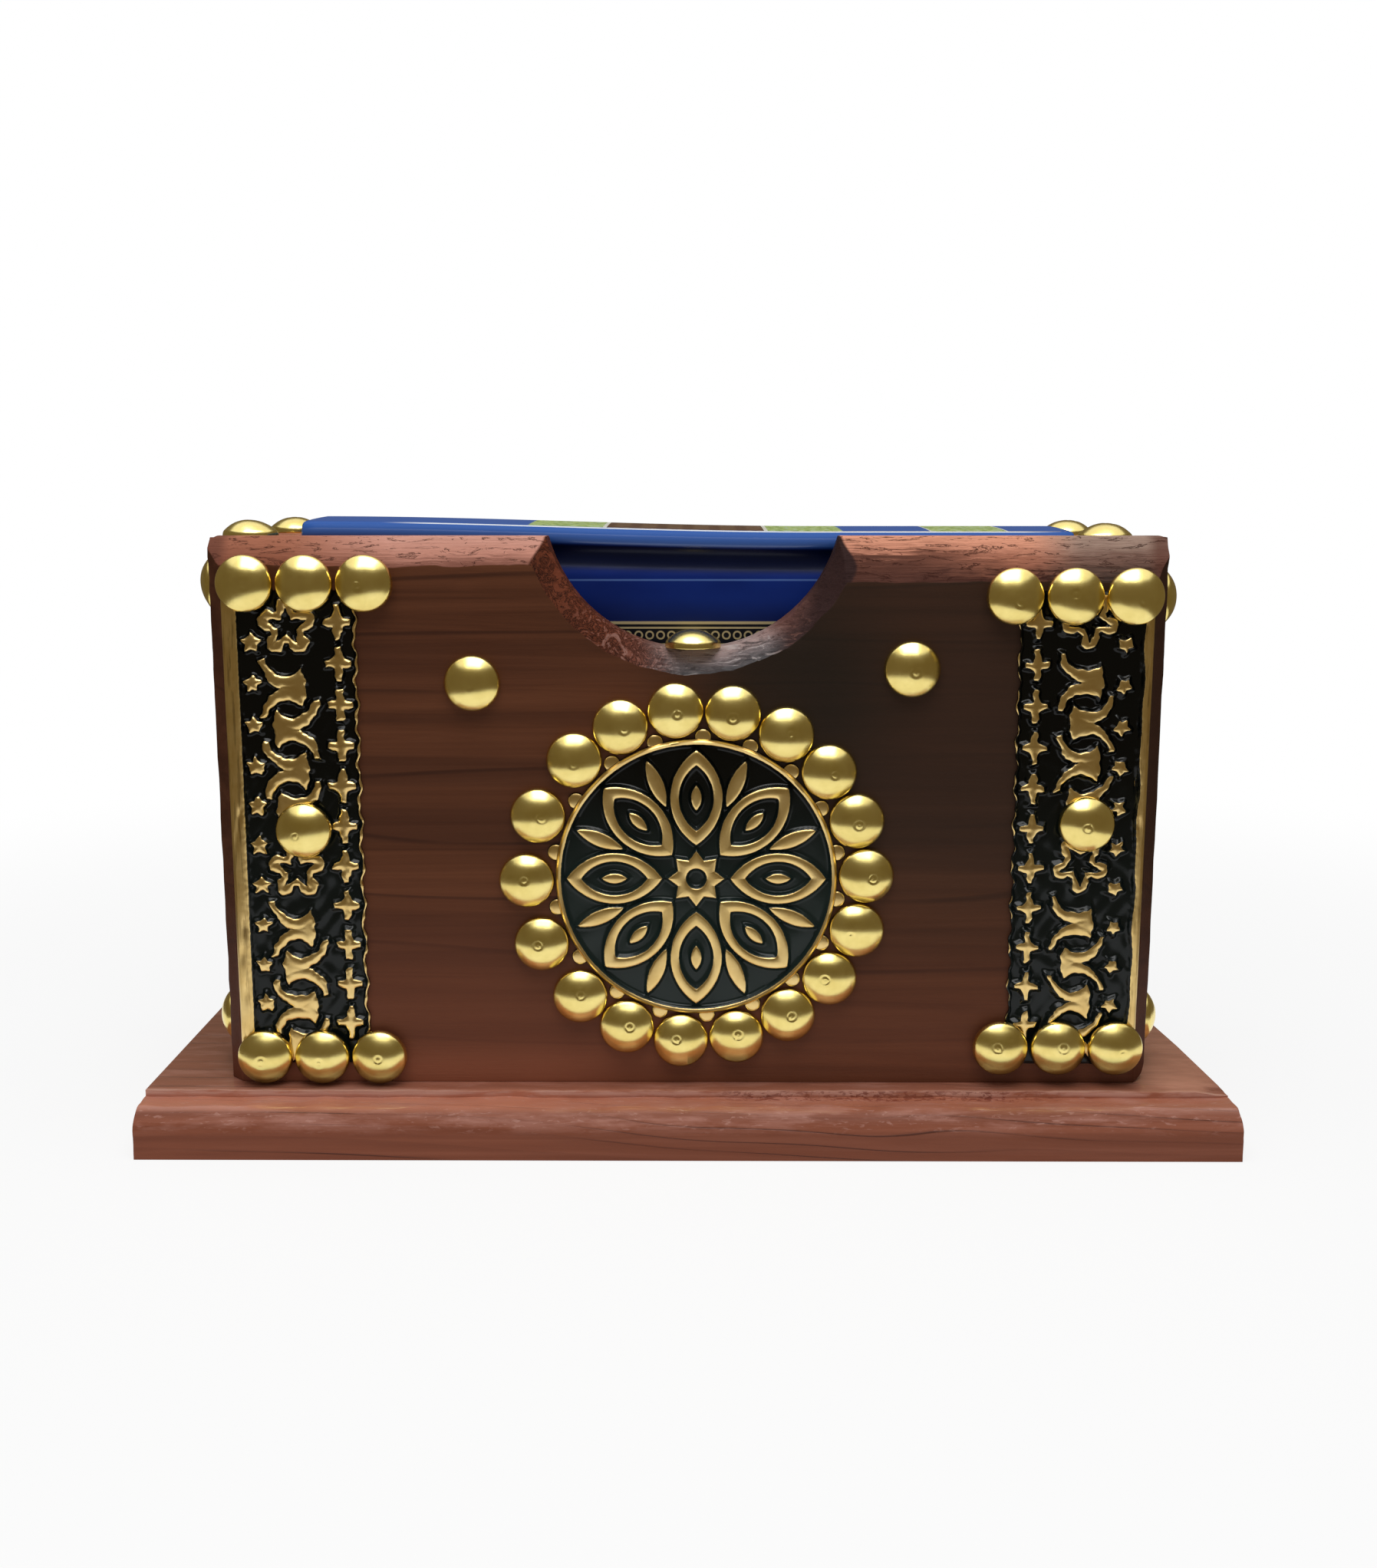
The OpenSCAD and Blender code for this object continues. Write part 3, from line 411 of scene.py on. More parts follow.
def cover_print():
    """Glossy blue cover with generic fields on the spine, and a framed border on both boards."""
    g = Graph("cover_print")
    mottled = g.noise((0.02, 0.05, 0.05), 3.0, 0.55)
    level = g.z + g.rise(g.x, LEAN_FROM, LEAN_TO) * LEAN
    blue = g.ramp(mottled, (0.3, (0.002, 0.013, 0.12)), (0.7, (0.004, 0.023, 0.185)))
    # Darker down the board below the spine: painted shade.
    blue = g.mix(g.rise(level, 160.5, 151.0) * 0.6, blue, (0.0035, 0.007, 0.04))
    # Near-black joint groove below the shoulder: painted shade.
    groove_painted_shade = g.rise(level, 166.0, 168.2) * g.rise(level, 174.4, 173.2)
    blue = g.mix(groove_painted_shade * 0.9, blue, (0.0012, 0.0028, 0.0125))
    # Lighter blue on the upward-facing shoulder: painted light.
    shoulder = g.rise(level, 173.6, 174.8)
    blue = g.mix(shoulder, blue, (0.03, 0.1, 0.36))
    # Pale line along the hinge crease: painted highlight.
    hinge_painted_highlight = g.band(g.z, 161.9, 0.24, 0.16)
    blue = g.mix(hinge_painted_highlight * 0.55, blue, (0.12, 0.22, 0.5))
    off_x = abs(g.x) - FRAME_X
    off_z = abs(g.z - FRAME_MID) - FRAME_Z
    edge = g.most(off_x, off_z)
    upright = g.math("GREATER_THAN", off_x, off_z)
    along = upright * g.z + (1.0 - upright) * g.x
    place = along % FRAME_STEP - FRAME_STEP / 2
    ring = g.band(g.length(place, edge + 3.9), 1.05, 0.24, 0.08)
    frame_band = g.band(edge, -4.0, 3.6, 0.1)
    lines = g.most(g.band(edge, -0.3, 0.42, 0.08), g.band(edge, -1.75, 0.26, 0.08))
    lines = g.most(lines, g.band(edge, -6.6, 0.3, 0.08))
    board = g.mix(frame_band, blue, (0.006, 0.007, 0.012))
    board = g.mix(g.most(lines, ring), board, (0.46, 0.37, 0.2))
    colour = g.mix(g.math("LESS_THAN", g.z, 160.0), blue, board)
    top = g.rise(level, 176.6, 177.0)
    inner = g.rise(abs(g.y), 29.0, 28.6)
    mid_field = g.band(g.x, FIELD_MID, FIELD_MID_W / 2, 0.4)
    end_field = g.band(g.x, FIELD_END, FIELD_END_W / 2, 0.4)
    off_mid = abs(g.x - FIELD_MID)
    side_field = g.band(off_mid, FIELD_SIDE, FIELD_END_W / 2, 0.4)
    leaf = g.noise((0.5, 0.5, 0.5), 5.0, 0.7, 0.5, 2.0)
    green = g.ramp(leaf, (0.4, (0.14, 0.24, 0.07)), (0.52, (0.46, 0.57, 0.17)),
                   (0.62, (0.4, 0.52, 0.44)))
    brown = g.ramp(leaf, (0.3, (0.06, 0.028, 0.018)), (0.7, (0.11, 0.056, 0.036)))
    part_x = abs(g.x % LATTICE - LATTICE / 2)
    part_y = abs(g.y % LATTICE - LATTICE / 2)
    diamond = g.band(part_x + part_y, 2.3, 0.4, 0.15)
    brown = g.mix(diamond * 0.75, brown, (0.3, 0.205, 0.11))
    patch = g.mix(mid_field, green, brown)
    field = g.most(mid_field, g.most(side_field, end_field))
    panel = top * inner
    colour = g.mix(field * panel, colour, patch)
    border = g.band(off_mid, FIELD_MID_W / 2, 0.55, 0.12)
    border = g.most(border, g.band(end_field, 0.5, 0.42, 0.06))
    colour = g.mix(border * panel, colour, (0.66, 0.66, 0.58))
    # Near-white lines along the spine's top edges: painted highlight.
    white = g.band(abs(g.y), 30.2, 0.7, 0.2) * g.rise(level, 176.0, 176.4)
    white = white * g.band(g.x, 10.0, 92.0, 8.0)
    colour = g.mix(white, colour, (0.75, 0.78, 0.82))
    gloss = shoulder * (1.0 - top)
    g.set(colour=colour, rough=0.24 + mottled * 0.12, specular=0.18 + gloss * 0.25 - top * 0.12)
    g.set(coat=gloss * 0.8, coat_rough=0.09)
    g.bump(g.noise((0.03, 0.12, 0.12), 3.0, 0.5, 0.0, 6.0), 0.25, 0.4)
    return g.material


def paper_pages():
    g = Graph("paper_pages")
    leaves = g.noise((0.015, 5.0, 0.015), 2.0, 0.6)
    age = g.noise((0.02, 0.02, 0.02), 3.0, 0.6, 0.0, 3.0)
    colour = g.ramp(leaves, (0.38, (0.46, 0.39, 0.27)), (0.62, (0.78, 0.71, 0.56)))
    g.set(colour=g.mix(age * 0.3, colour, (0.52, 0.42, 0.27)), rough=0.9)
    g.bump(leaves, 0.2, 0.7)
    return g.material


def woven_band():
    g = Graph("woven_band")
    stripe = g.band(g.y % 2.4, 1.2, 0.6, 0.15)
    thread = g.noise((6.0, 6.0, 1.0), 2.0, 0.5)
    colour = g.mix(stripe, (0.32, 0.035, 0.035), (0.7, 0.64, 0.52))
    g.set(colour=g.mix(thread * 0.4, colour, (0.1, 0.02, 0.02)), rough=0.85, sheen=0.3)
    g.bump(thread, 0.15, 0.7)
    return g.material


def plain_steel():
    g = Graph("plain_steel")
    scratch = g.noise((0.6, 5.0, 2.0), 4.0, 0.7)
    g.set(colour=g.ramp(scratch, (0.3, (0.36, 0.36, 0.37)), (0.7, (0.55, 0.55, 0.56))), metal=1.0)
    g.set(rough=0.28 + scratch * 0.2)
    g.bump(scratch, 0.03, 0.5)
    return g.material


BOARD = board_wood()
PLINTH = plinth_wood()
STUD = stud_brass()
LACQUER = lacquered_brass()
COVER = cover_print()
PAGES = paper_pages()
BANDS = woven_band()
STEEL = plain_steel()


# New pieces

SHARP_ANGLE = math.radians(50)
EDGE_ANGLE = math.radians(25)
WELD = 1e-6


def dress(obj, material):
    obj.data.materials.clear()
    obj.data.materials.append(material)


def new_object(name, data):
    obj = bpy.data.objects.new(name, data)
    bpy.context.scene.collection.objects.link(obj)
    return obj


def add_piece(mesh, material, body, node):
    """Smooth piece that rides on a body in place of a node of the part."""
    mesh.polygons.foreach_set("use_smooth", [True] * len(mesh.polygons))
    mesh.set_sharp_from_angle(angle=SHARP_ANGLE)
    obj = new_object(mesh.name, mesh)
    dress(obj, material)
    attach(obj, body)
    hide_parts(node)
    return obj


def new_mesh(name, points, faces, depth=None):
    """Mesh from points in millimetres, with the depth of the relief at each point."""
    mesh = bpy.data.meshes.new(name)
    mesh.from_pydata((np.asarray(points) * MM).tolist(), [], faces)
    if depth is not None:
        layer = mesh.attributes.new("depth", "FLOAT", "POINT")
        layer.data.foreach_set("value", np.asarray(depth, np.float32))
    mesh.validate()
    return mesh


def ring_faces(rings, turns, first=0):
    """Faces of closed rings of points that follow each other, with both ends closed."""
    index = first + np.arange(rings * turns).reshape(rings, turns)
    after = np.roll(index, -1, axis=1)
    faces = np.stack([index[:-1], index[1:], after[1:], after[:-1]], -1).reshape(-1, 4).tolist()
    return faces + [index[0].tolist(), index[-1][::-1].tolist()]


def circle(turns):
    return np.linspace(0, 2 * math.pi, turns, endpoint=False)


# Signed distances on the plane, negative inside

def disc(x, y, cx, cy, r):
    return np.hypot(x - cx, y - cy) - r


def outline(x, y, corners):
    """Distance to a closed polygon."""
    best = np.full(x.shape, 1e9)
    inside = np.zeros(x.shape, bool)
    for (ax, ay), (bx, by) in zip(corners, corners[1:] + corners[:1]):
        ex, ey = bx - ax, by - ay
        t = np.clip(((x - ax) * ex + (y - ay) * ey) / (ex * ex + ey * ey), 0, 1)
        best = np.minimum(best, np.hypot(x - ax - t * ex, y - ay - t * ey))
        if ay != by:
            crosses = ((ay > y) != (by > y)) & (x < ex * (y - ay) / ey + ax)
            inside ^= crosses
    return np.where(inside, -best, best)


def star_corners(n, outer, inner, turn=90.0):
    corners = []
    for i in range(2 * n):
        r = outer if i % 2 == 0 else inner
        a = math.radians(turn + i * 180.0 / n)
        corners.append((r * math.cos(a), r * math.sin(a)))
    return corners


def arc_centre(p, q, r):
    """Centre of a circle through p and q, on the right-hand side of the way from p to q."""
    p, q = np.array(p), np.array(q)
    way = q - p
    half = np.hypot(*way) / 2
    reach = math.sqrt(r * r - half * half)
    return (p + q) / 2 + reach / (2 * half) * np.array([way[1], -way[0]])


# Motifs of the strips, with the sizes of the part

TULIP_L, TULIP_W, TULIP_BASE, TULIP_BASE_R = 12.2, 15.8, 9.5, 14.0
TULIP_FORK, HORN_TIP, HORN_R, HOLLOW_R = 6.9, 1.0, 8.6, 6.2
CROSS_W, CROSS_H, CROSS_ROOT, CROSS_TIP = 8.2, 10.2, 3.4, 2.2
FLOWER_R, LOBE_R, FLOWER_HEART, FLOWER_LINE = 8.2, 2.6, 4.8, 2.2
STAR_R, STAR_INNER_R = 2.7, 1.6
STAR_U, WAVE_U, CROSS_U = 7.9, 18.2, 32.4
WAVE_SWAY, WAVE_DROP, MOTIF_STEP, WAVE_PERIOD = 1.7, 1.2, 11.65, 6
FIRST_ROW, TURNED_FIRST_ROW, TURNED_FIRST_BEAT = 8.8, 12.3, 2
CROSS_SLACK, BEAD_SLACK, TULIP_SWELL, TURNED_BAND_SLACK = 0.5, 0.45, 0.28, 1.5


def tulip(x, y):
    base_x = TULIP_L / 2 - TULIP_BASE_R + math.sqrt(TULIP_BASE_R ** 2 - (TULIP_BASE / 2) ** 2)
    fork = (TULIP_FORK - TULIP_L / 2, 0.0)
    tip = (-TULIP_L / 2, TULIP_W / 2)
    hx, hy = arc_centre(fork, tip, HORN_R)
    cx, cy = arc_centre((base_x, TULIP_BASE / 2), (tip[0] + HORN_TIP, tip[1]), HOLLOW_R)
    up = np.abs(y)
    body = np.minimum(disc(x, up, hx, hy, HORN_R), disc(x, -up, hx, hy, HORN_R))
    heel = outline(x, y, [fork, (TULIP_L / 2, -TULIP_BASE / 2), (TULIP_L / 2, TULIP_BASE / 2)])
    body = np.minimum(body, heel)
    body = np.maximum(body, disc(x, y, TULIP_L / 2 - TULIP_BASE_R, 0.0, TULIP_BASE_R))
    body = np.maximum(body, np.maximum(np.abs(x) - TULIP_L / 2, up - TULIP_W / 2))
    return np.maximum(body, -disc(x, up, cx, cy, HOLLOW_R)) - TULIP_SWELL


def cross(x, y):
    w, h, root, tip = CROSS_W / 2, CROSS_H / 2, CROSS_ROOT / 2, CROSS_TIP / 2
    quarter = [(w, -tip), (w, tip), (root, root), (tip, h), (-tip, h), (-root, root)]
    return outline(x, y, quarter + [(-a, -b) for a, b in quarter]) + CROSS_SLACK


def flower(x, y):
    body = disc(x, y, 0.0, 0.0, FLOWER_HEART)
    for i in range(5):
        a = math.radians(90 + 72 * i)
        reach = FLOWER_R - LOBE_R
        body = np.minimum(body, disc(x, y, reach * math.cos(a), reach * math.sin(a), LOBE_R))
    hole = outline(x, y, star_corners(5, FLOWER_R - FLOWER_LINE, FLOWER_HEART - FLOWER_LINE))
    return np.maximum(body, -hole)


def small_star(x, y):
    return outline(x, y, star_corners(5, STAR_R, STAR_INNER_R))


def strip_distance(u, v, turned):
    """Distance to the raised pattern of a strip; u from its left edge, v from its foot."""
    if turned:
        u, v = STRIP_W - u, STRIP_LEN - v
    first, beat0 = (TURNED_FIRST_ROW, TURNED_FIRST_BEAT) if turned else (FIRST_ROW, 0)
    band_slack = TURNED_BAND_SLACK + 0.4 * np.sin(v * 0.31) * np.sin(v * 0.083) if turned else 0.0
    bead_slack = BEAD_SLACK + 0.35 * np.sin(v * 0.9) * np.sin(v * 0.37 + 1.0) + (0.3 if turned else 0.1)
    d = np.minimum(u - BAND_W + band_slack, STRIP_W - BEAD_W - u + bead_slack)
    rows = math.floor((STRIP_LEN - first - CROSS_H / 2) / MOTIF_STEP) + 1

    def stamp(shape, cx, cy, reach, turn=1.0):
        near = (np.abs(u - cx) < reach) & (np.abs(v - cy) < reach)
        d[near] = np.minimum(d[near], shape(turn * (u[near] - cx), turn * (v[near] - cy)))

    for row in range(-1, rows):
        place = STRIP_LEN - first - row * MOTIF_STEP
        beat = (row + beat0 + WAVE_PERIOD) % WAVE_PERIOD
        side = 1.0 if beat % 2 == 1 else -1.0
        if row >= 0:
            stamp(cross, CROSS_U, place, 7.0)
        stamp(small_star, STAR_U, place - MOTIF_STEP / 2, 4.5)
        if beat == 0:
            stamp(flower, WAVE_U, place - WAVE_DROP, 10.0)
        elif beat < WAVE_PERIOD - 1:
            stamp(tulip, WAVE_U - side * WAVE_SWAY, place - WAVE_DROP - MOTIF_STEP / 2, 10.0, side)
    return d


def smooth(t):
    t = np.clip(t, 0.0, 1.0)
    return t * t * (3 - 2 * t)


GROUND, TOP, GROUND_WAVE = 0.35, 2.0, 0.17
SLOPE_FROM, SLOPE_W, DOME_FROM, DOME_W = 1.15, 1.2, 0.15, 2.2
FREE_GAP, FREE_FADE = 0.6, 1.6
SCRATCHES = 16


def emboss(d, wave, dome):
    """Height over the board at a distance to the pattern: a slope, and a top domed by this share."""
    slope = smooth((SLOPE_FROM - d) / SLOPE_W)
    inner = np.clip((DOME_FROM - d) / DOME_W, 0.0, 1.0)
    rounded = np.sqrt(1 - (1 - inner) ** 2)
    low = GROUND + GROUND_WAVE * wave
    return low + (TOP - low) * ((1 - dome) * slope + dome * rounded)


def closed_grid(rows, columns):
    """Faces of a grid of top points with its sides and back, and the top points round its rim."""
    index = np.arange(rows * columns).reshape(rows, columns)
    corners = [index[:-1, :-1], index[:-1, 1:], index[1:, 1:], index[1:, :-1]]
    quads = np.stack(corners, -1).reshape(-1, 4)
    rim = np.concatenate([index[0, :-1], index[:-1, -1], index[-1, :0:-1], index[:0:-1, 0]])
    back = index.size + np.arange(len(rim))
    sides = np.stack([rim, back, np.roll(back, -1), np.roll(rim, -1)], -1)
    return quads.tolist() + sides.tolist() + [back[::-1].tolist()], rim


def strip_mesh(turned, step, seed):
    """Points (u, v, w), faces and depth of an embossed strip; w is outwards from the board.

    Slow waves shift the motifs and their edges a little, as on a worn die; the straight band and the
    bead along the edges stay where they are. Short scratches cross the band."""
    rng = np.random.default_rng(seed)
    columns = int(STRIP_W / step) + 1
    rows = int(STRIP_LEN / step) + 1
    u, v = np.meshgrid(np.linspace(0, STRIP_W, columns), np.linspace(0, STRIP_LEN, rows))
    outer = STRIP_W - u if turned else u
    free = smooth((outer - BAND_W - FREE_GAP) / FREE_FADE)
    free = free * smooth((STRIP_W - BEAD_W - 1.0 - outer) / FREE_FADE)
    drift = 0.34 * np.sin(v * 0.71 + 1.9 * seed) * np.sin(u * 0.37 + 0.8)
    drift = drift + 0.2 * np.sin(v * 1.53 + u * 0.9)
    slip = 0.36 * np.sin(u * 0.67 + 2.3 * seed) * np.sin(v * 0.43 + 1.1)
    uneven = 0.16 * np.sin(u * 1.9 + 2.0 * np.sin(v * 0.8)) * np.sin(v * 1.7 + seed)
    d = strip_distance(u + free * drift, v + free * slip, turned) + (0.4 + 0.6 * free) * uneven
    wave = np.sin(u * 0.9 + 1.7 * np.sin(v * 0.21)) * np.sin(v * 0.63 + 1.3 * np.sin(u * 0.33))
    w = emboss(d, wave, 0.4)
    for _ in range(SCRATCHES):
        cu = rng.uniform(1.0, BAND_W - 0.8)
        cv = rng.uniform(6, STRIP_LEN - 6)
        long = rng.uniform(1.4, 3.6)
        wide = rng.uniform(0.35, 0.7)
        deep = rng.uniform(0.12, 0.3)
        w -= deep * np.exp(-((outer - cu) / wide) ** 2 - ((v - cv) / long) ** 2)
    ripple = 0.42 * np.sin(v * 2 * math.pi / MOTIF_STEP + 0.9) + 0.22 * np.sin(v * 1.31 + seed)
    shift = smooth((outer - (STRIP_W - 3.0)) / 3.0) * (ripple - 0.64)
    shown = u - shift if turned else u + shift
    edge = np.minimum(np.minimum(u, STRIP_W - u), np.minimum(v, STRIP_LEN - v))
    w *= 1 - 0.35 * (1 - smooth(edge / 0.7))
    faces, rim = closed_grid(rows, columns)
    top = np.stack([shown, v, w], -1).reshape(-1, 3)
    depth = -d.reshape(-1)
    points = np.concatenate([top, top[rim] * [1, 1, 0]])
    return points, faces, np.concatenate([depth, depth[rim] - 1.0])


def on_front(p, x):
    return np.stack([x + p[:, 0], FRONT_Y - p[:, 2], STRIP_Z + p[:, 1]], -1)


def on_right(p, y):
    return np.stack([SIDE_X + p[:, 2], y + p[:, 0], STRIP_Z + p[:, 1]], -1)


def on_left(p, y):
    return np.stack([-SIDE_X - p[:, 2], y - p[:, 0], STRIP_Z + p[:, 1]], -1)


FINE_STEP, SIDE_STEP = 0.36, 0.5
STRIPS = [
    ("front_left_strip", on_front, STRIP_EDGE - SIDE_X, False, FINE_STEP),
    ("front_right_strip", on_front, SIDE_X - STRIP_EDGE - STRIP_W, True, FINE_STEP),
    ("left_rear_strip", on_left, BACK_Y - SIDE_EDGE, False, SIDE_STEP),
    ("left_front_strip", on_left, FRONT_Y + SIDE_EDGE + STRIP_W, True, SIDE_STEP),
    ("right_front_strip", on_right, FRONT_Y + SIDE_EDGE, False, SIDE_STEP),
    ("right_rear_strip", on_right, BACK_Y - SIDE_EDGE - STRIP_W, True, SIDE_STEP),
]
for seed, (node, place, start, turned, step) in enumerate(STRIPS, 1):
    points, faces, depth = strip_mesh(turned, step, seed)
    mesh = new_mesh(node + "_embossed", place(points, start), faces, depth)
    add_piece(mesh, LACQUER, "box", node)


# Medallion with its rosette

MEDALLION_RIM, ROSETTE_GAP, ROSETTE_LINE = 1.7, 1.5, 2.6
HEART_R, HEART_STAR_R, HEART_STAR_INNER, HEART_HOLE = 9.7, 8.3, 5.8, 2.9
PETALS, PETAL_W, PETAL_POINT = 8, 15.0, 4.4
LEAF_L, LEAF_W, INNER_LEAF_L, INNER_LEAF_W = 14.9, 4.2, 7.5, 3.1
ROSETTE_SLACK, ROSETTE_DOME = 0.22, 0.16
DISC_RINGS, DISC_TURNS, DISC_HOLE = 96, 420, 0.15
TAB_R, TAB_H, TAB_TURNS, TAB_PLACE = 2.4, 0.95, 20, 1.012 * MEDALLION_R
TAB_LEVELS = [(0.05, 1.0), (0.6, 0.97), (0.88, 0.8), (1.0, 0.5), (1.0, 0.0)]
RING_R, RING_COUNT, RING_CLOSE, RING_WIDE, RING_TURN, RING_GAP = 48.8, 18, 12, 4, 7.0, 0.3


def ring_angle(i):
    close = 2 * math.degrees(math.asin((2 * STUD_R + RING_GAP) / 2 / RING_R))
    wide = (360 - (RING_COUNT - RING_WIDE) * close) / RING_WIDE
    return 90 + RING_TURN - i * close - min(max(i - RING_CLOSE, 0), RING_WIDE) * (wide - close)


def petal(x, y, start, reach, width):
    r = ((reach / 2) ** 2 + (width / 2) ** 2) / width
    middle = start + reach / 2
    return np.maximum(disc(x, y, middle, r - width / 2, r), disc(x, y, middle, width / 2 - r, r))


def rosette_distance(x, y):
    rosette_r = MEDALLION_R - MEDALLION_RIM - ROSETTE_GAP
    reach = rosette_r - HEART_R
    r = np.hypot(x, y)
    d = np.abs(r - MEDALLION_R + MEDALLION_RIM / 2) - MEDALLION_RIM / 2
    for i in range(2 * PETALS):
        a = math.radians(90 + i * 180.0 / PETALS)
        px, py = x * math.cos(a) + y * math.sin(a), y * math.cos(a) - x * math.sin(a)
        if i % 2 == 1:
            d = np.minimum(d, petal(px, py, rosette_r - LEAF_L, LEAF_L, LEAF_W))
            continue
        hollow_w = PETAL_W - 2 * ROSETTE_LINE
        hollow = petal(px, py, HEART_R + PETAL_POINT, reach - 2 * PETAL_POINT, hollow_w)
        d = np.minimum(d, np.maximum(petal(px, py, HEART_R, reach, PETAL_W), -hollow))
        leaf_start = HEART_R + (reach - INNER_LEAF_L) / 2
        d = np.minimum(d, petal(px, py, leaf_start, INNER_LEAF_L, INNER_LEAF_W))
    star = outline(x, y, star_corners(PETALS, HEART_STAR_R, HEART_STAR_INNER))
    return np.minimum(d, np.maximum(star, HEART_HOLE - r))


def medallion_relief():
    """Points (x, y, w), faces and depth: the embossed disc, then the tabs round its edge."""
    radius = np.linspace(DISC_HOLE, MEDALLION_R, DISC_RINGS)
    r, a = np.meshgrid(radius, circle(DISC_TURNS), indexing="ij")
    x, y = r * np.cos(a), r * np.sin(a)
    d = rosette_distance(x, y) + ROSETTE_SLACK
    wave = np.sin(x * 0.31 + 1.1 * np.sin(y * 0.17)) * np.sin(y * 0.27 + 0.8)
    w = emboss(d, wave, ROSETTE_DOME)
    w *= 1 - 0.4 * (1 - smooth((MEDALLION_R - r) / 0.8))
    back = np.stack([x[-1], y[-1], np.zeros(DISC_TURNS)], -1)
    points = [np.stack([x, y, w], -1).reshape(-1, 3), back]
    depth = [-d.reshape(-1), np.full(DISC_TURNS, -1.0)]
    faces = ring_faces(DISC_RINGS + 1, DISC_TURNS)
    count = (DISC_RINGS + 1) * DISC_TURNS
    around = circle(TAB_TURNS)
    for i in range(RING_COUNT):
        turn = math.radians((ring_angle(i) + ring_angle(i + 1)) / 2)
        for share, level in TAB_LEVELS:
            tab_x = TAB_PLACE * math.cos(turn) + share * TAB_R * np.cos(around)
            tab_y = TAB_PLACE * math.sin(turn) + share * TAB_R * np.sin(around)
            points.append(np.stack([tab_x, tab_y, np.full(TAB_TURNS, TAB_H * level)], -1))
            depth.append(np.full(TAB_TURNS, 0.02 if level > 0.6 else -0.3))
        faces += ring_faces(len(TAB_LEVELS), TAB_TURNS, count)
        count += len(TAB_LEVELS) * TAB_TURNS
    return np.concatenate(points), faces, np.concatenate(depth)


points, faces, depth = medallion_relief()
x, y, w = points.T
points = np.stack([MEDALLION_X + x, FRONT_Y - w, MEDALLION_Z + y], -1)
mesh = new_mesh("medallion_embossed", points, faces, depth)
add_piece(mesh, LACQUER, "box", "medallion")


# Studs: pressed domes with a turned-down edge and a small dent each

DOME_H = STUD_H - STUD_EDGE
DOME_R = (STUD_R ** 2 + DOME_H ** 2) / (2 * DOME_H)
STUD_SHOULDER, SHOULDER_FOOT = 0.55, 0.45
STUD_RINGS, STUD_TURNS, BEND_RINGS = 28, 56, 5
STUD_FOOT = [(STUD_R, 0.22), (STUD_R - 0.05, 0.07), (STUD_R - 0.14, 0.0)]
SWELLS, SWELL_H, SWELL_RATE, STUD_SINK = 4, 0.02, 0.42, 0.08
DENT_PLACE, DENT_RING_W, DENT_HEART_W, TIP_SHIFT = 1.6, 0.34, 0.5, 0.55


def stud_section():
    """Half section (r, z): a low dome, a rounded shoulder and the edge."""
    last = math.asin((STUD_R - STUD_SHOULDER) / DOME_R)
    phi = np.linspace(0.012, last, STUD_RINGS - BEND_RINGS - len(STUD_FOOT))
    dome = np.stack([DOME_R * np.sin(phi), STUD_H - DOME_R + DOME_R * np.cos(phi)], -1)
    start = dome[-1]
    knee = np.array([STUD_R, start[1] - STUD_SHOULDER * math.tan(last)])
    stop = np.array([STUD_R, SHOULDER_FOOT])
    t = np.linspace(0, 1, BEND_RINGS + 1)[1:, None]
    bend = (1 - t) ** 2 * start + 2 * t * (1 - t) * knee + t * t * stop
    return np.concatenate([dome, bend, STUD_FOOT])


STUD_SECTION = stud_section()


def stud_points(rng):
    """One stud on z = 0: points by ring, from the top to the turned-down edge."""
    a = circle(STUD_TURNS)
    r, z = STUD_SECTION[:, :1] + 0 * a, STUD_SECTION[:, 1:] + 0 * a
    x, y = r * np.cos(a), r * np.sin(a)
    swell = np.zeros_like(x)
    for _ in range(SWELLS):
        way = rng.normal(size=2)
        swell += SWELL_H * np.sin(SWELL_RATE * (way[0] * x + way[1] * y) + rng.uniform(0, 6.3))
    cx, cy = rng.uniform(-DENT_PLACE, DENT_PLACE, 2)
    off = np.hypot(x - cx, y - cy)
    deep = rng.uniform(0.07, 0.2)
    wide = rng.uniform(0.8, 1.3)
    dent = deep * np.exp(-((off - wide) / DENT_RING_W) ** 2)
    dent = dent + 0.5 * deep * np.exp(-(off / DENT_HEART_W) ** 2)
    z = z + (swell - STUD_SINK - dent) * smooth((STUD_R - 0.3 - r) / 1.2)
    tip_x, tip_y = rng.uniform(-TIP_SHIFT, TIP_SHIFT, 2)
    bow = 1 - (r / STUD_R) ** 2
    return np.stack([x + tip_x * bow, y + tip_y * bow, z], -1).reshape(-1, 3)


def add_studs(node, way, places):
    """Studs at places in millimetres along an outward axis, as one piece for a node."""
    rng = np.random.default_rng(len(node) * 101 + len(places))
    way = np.array(way, float)
    side = np.cross(way, [0.0, 0.0, 1.0]) if abs(way[2]) < 0.5 else np.array([1.0, 0.0, 0.0])
    other = np.cross(way, side)
    points, faces = [], []
    for i, place in enumerate(places):
        p = stud_points(rng)
        faces += ring_faces(STUD_RINGS, STUD_TURNS, i * len(p))
        points.append(np.array(place) + p[:, :1] * side + p[:, 1:2] * other + p[:, 2:] * way)
    mesh = new_mesh(node + "_pressed", np.concatenate(points), faces)
    add_piece(mesh, STUD, "box", node)


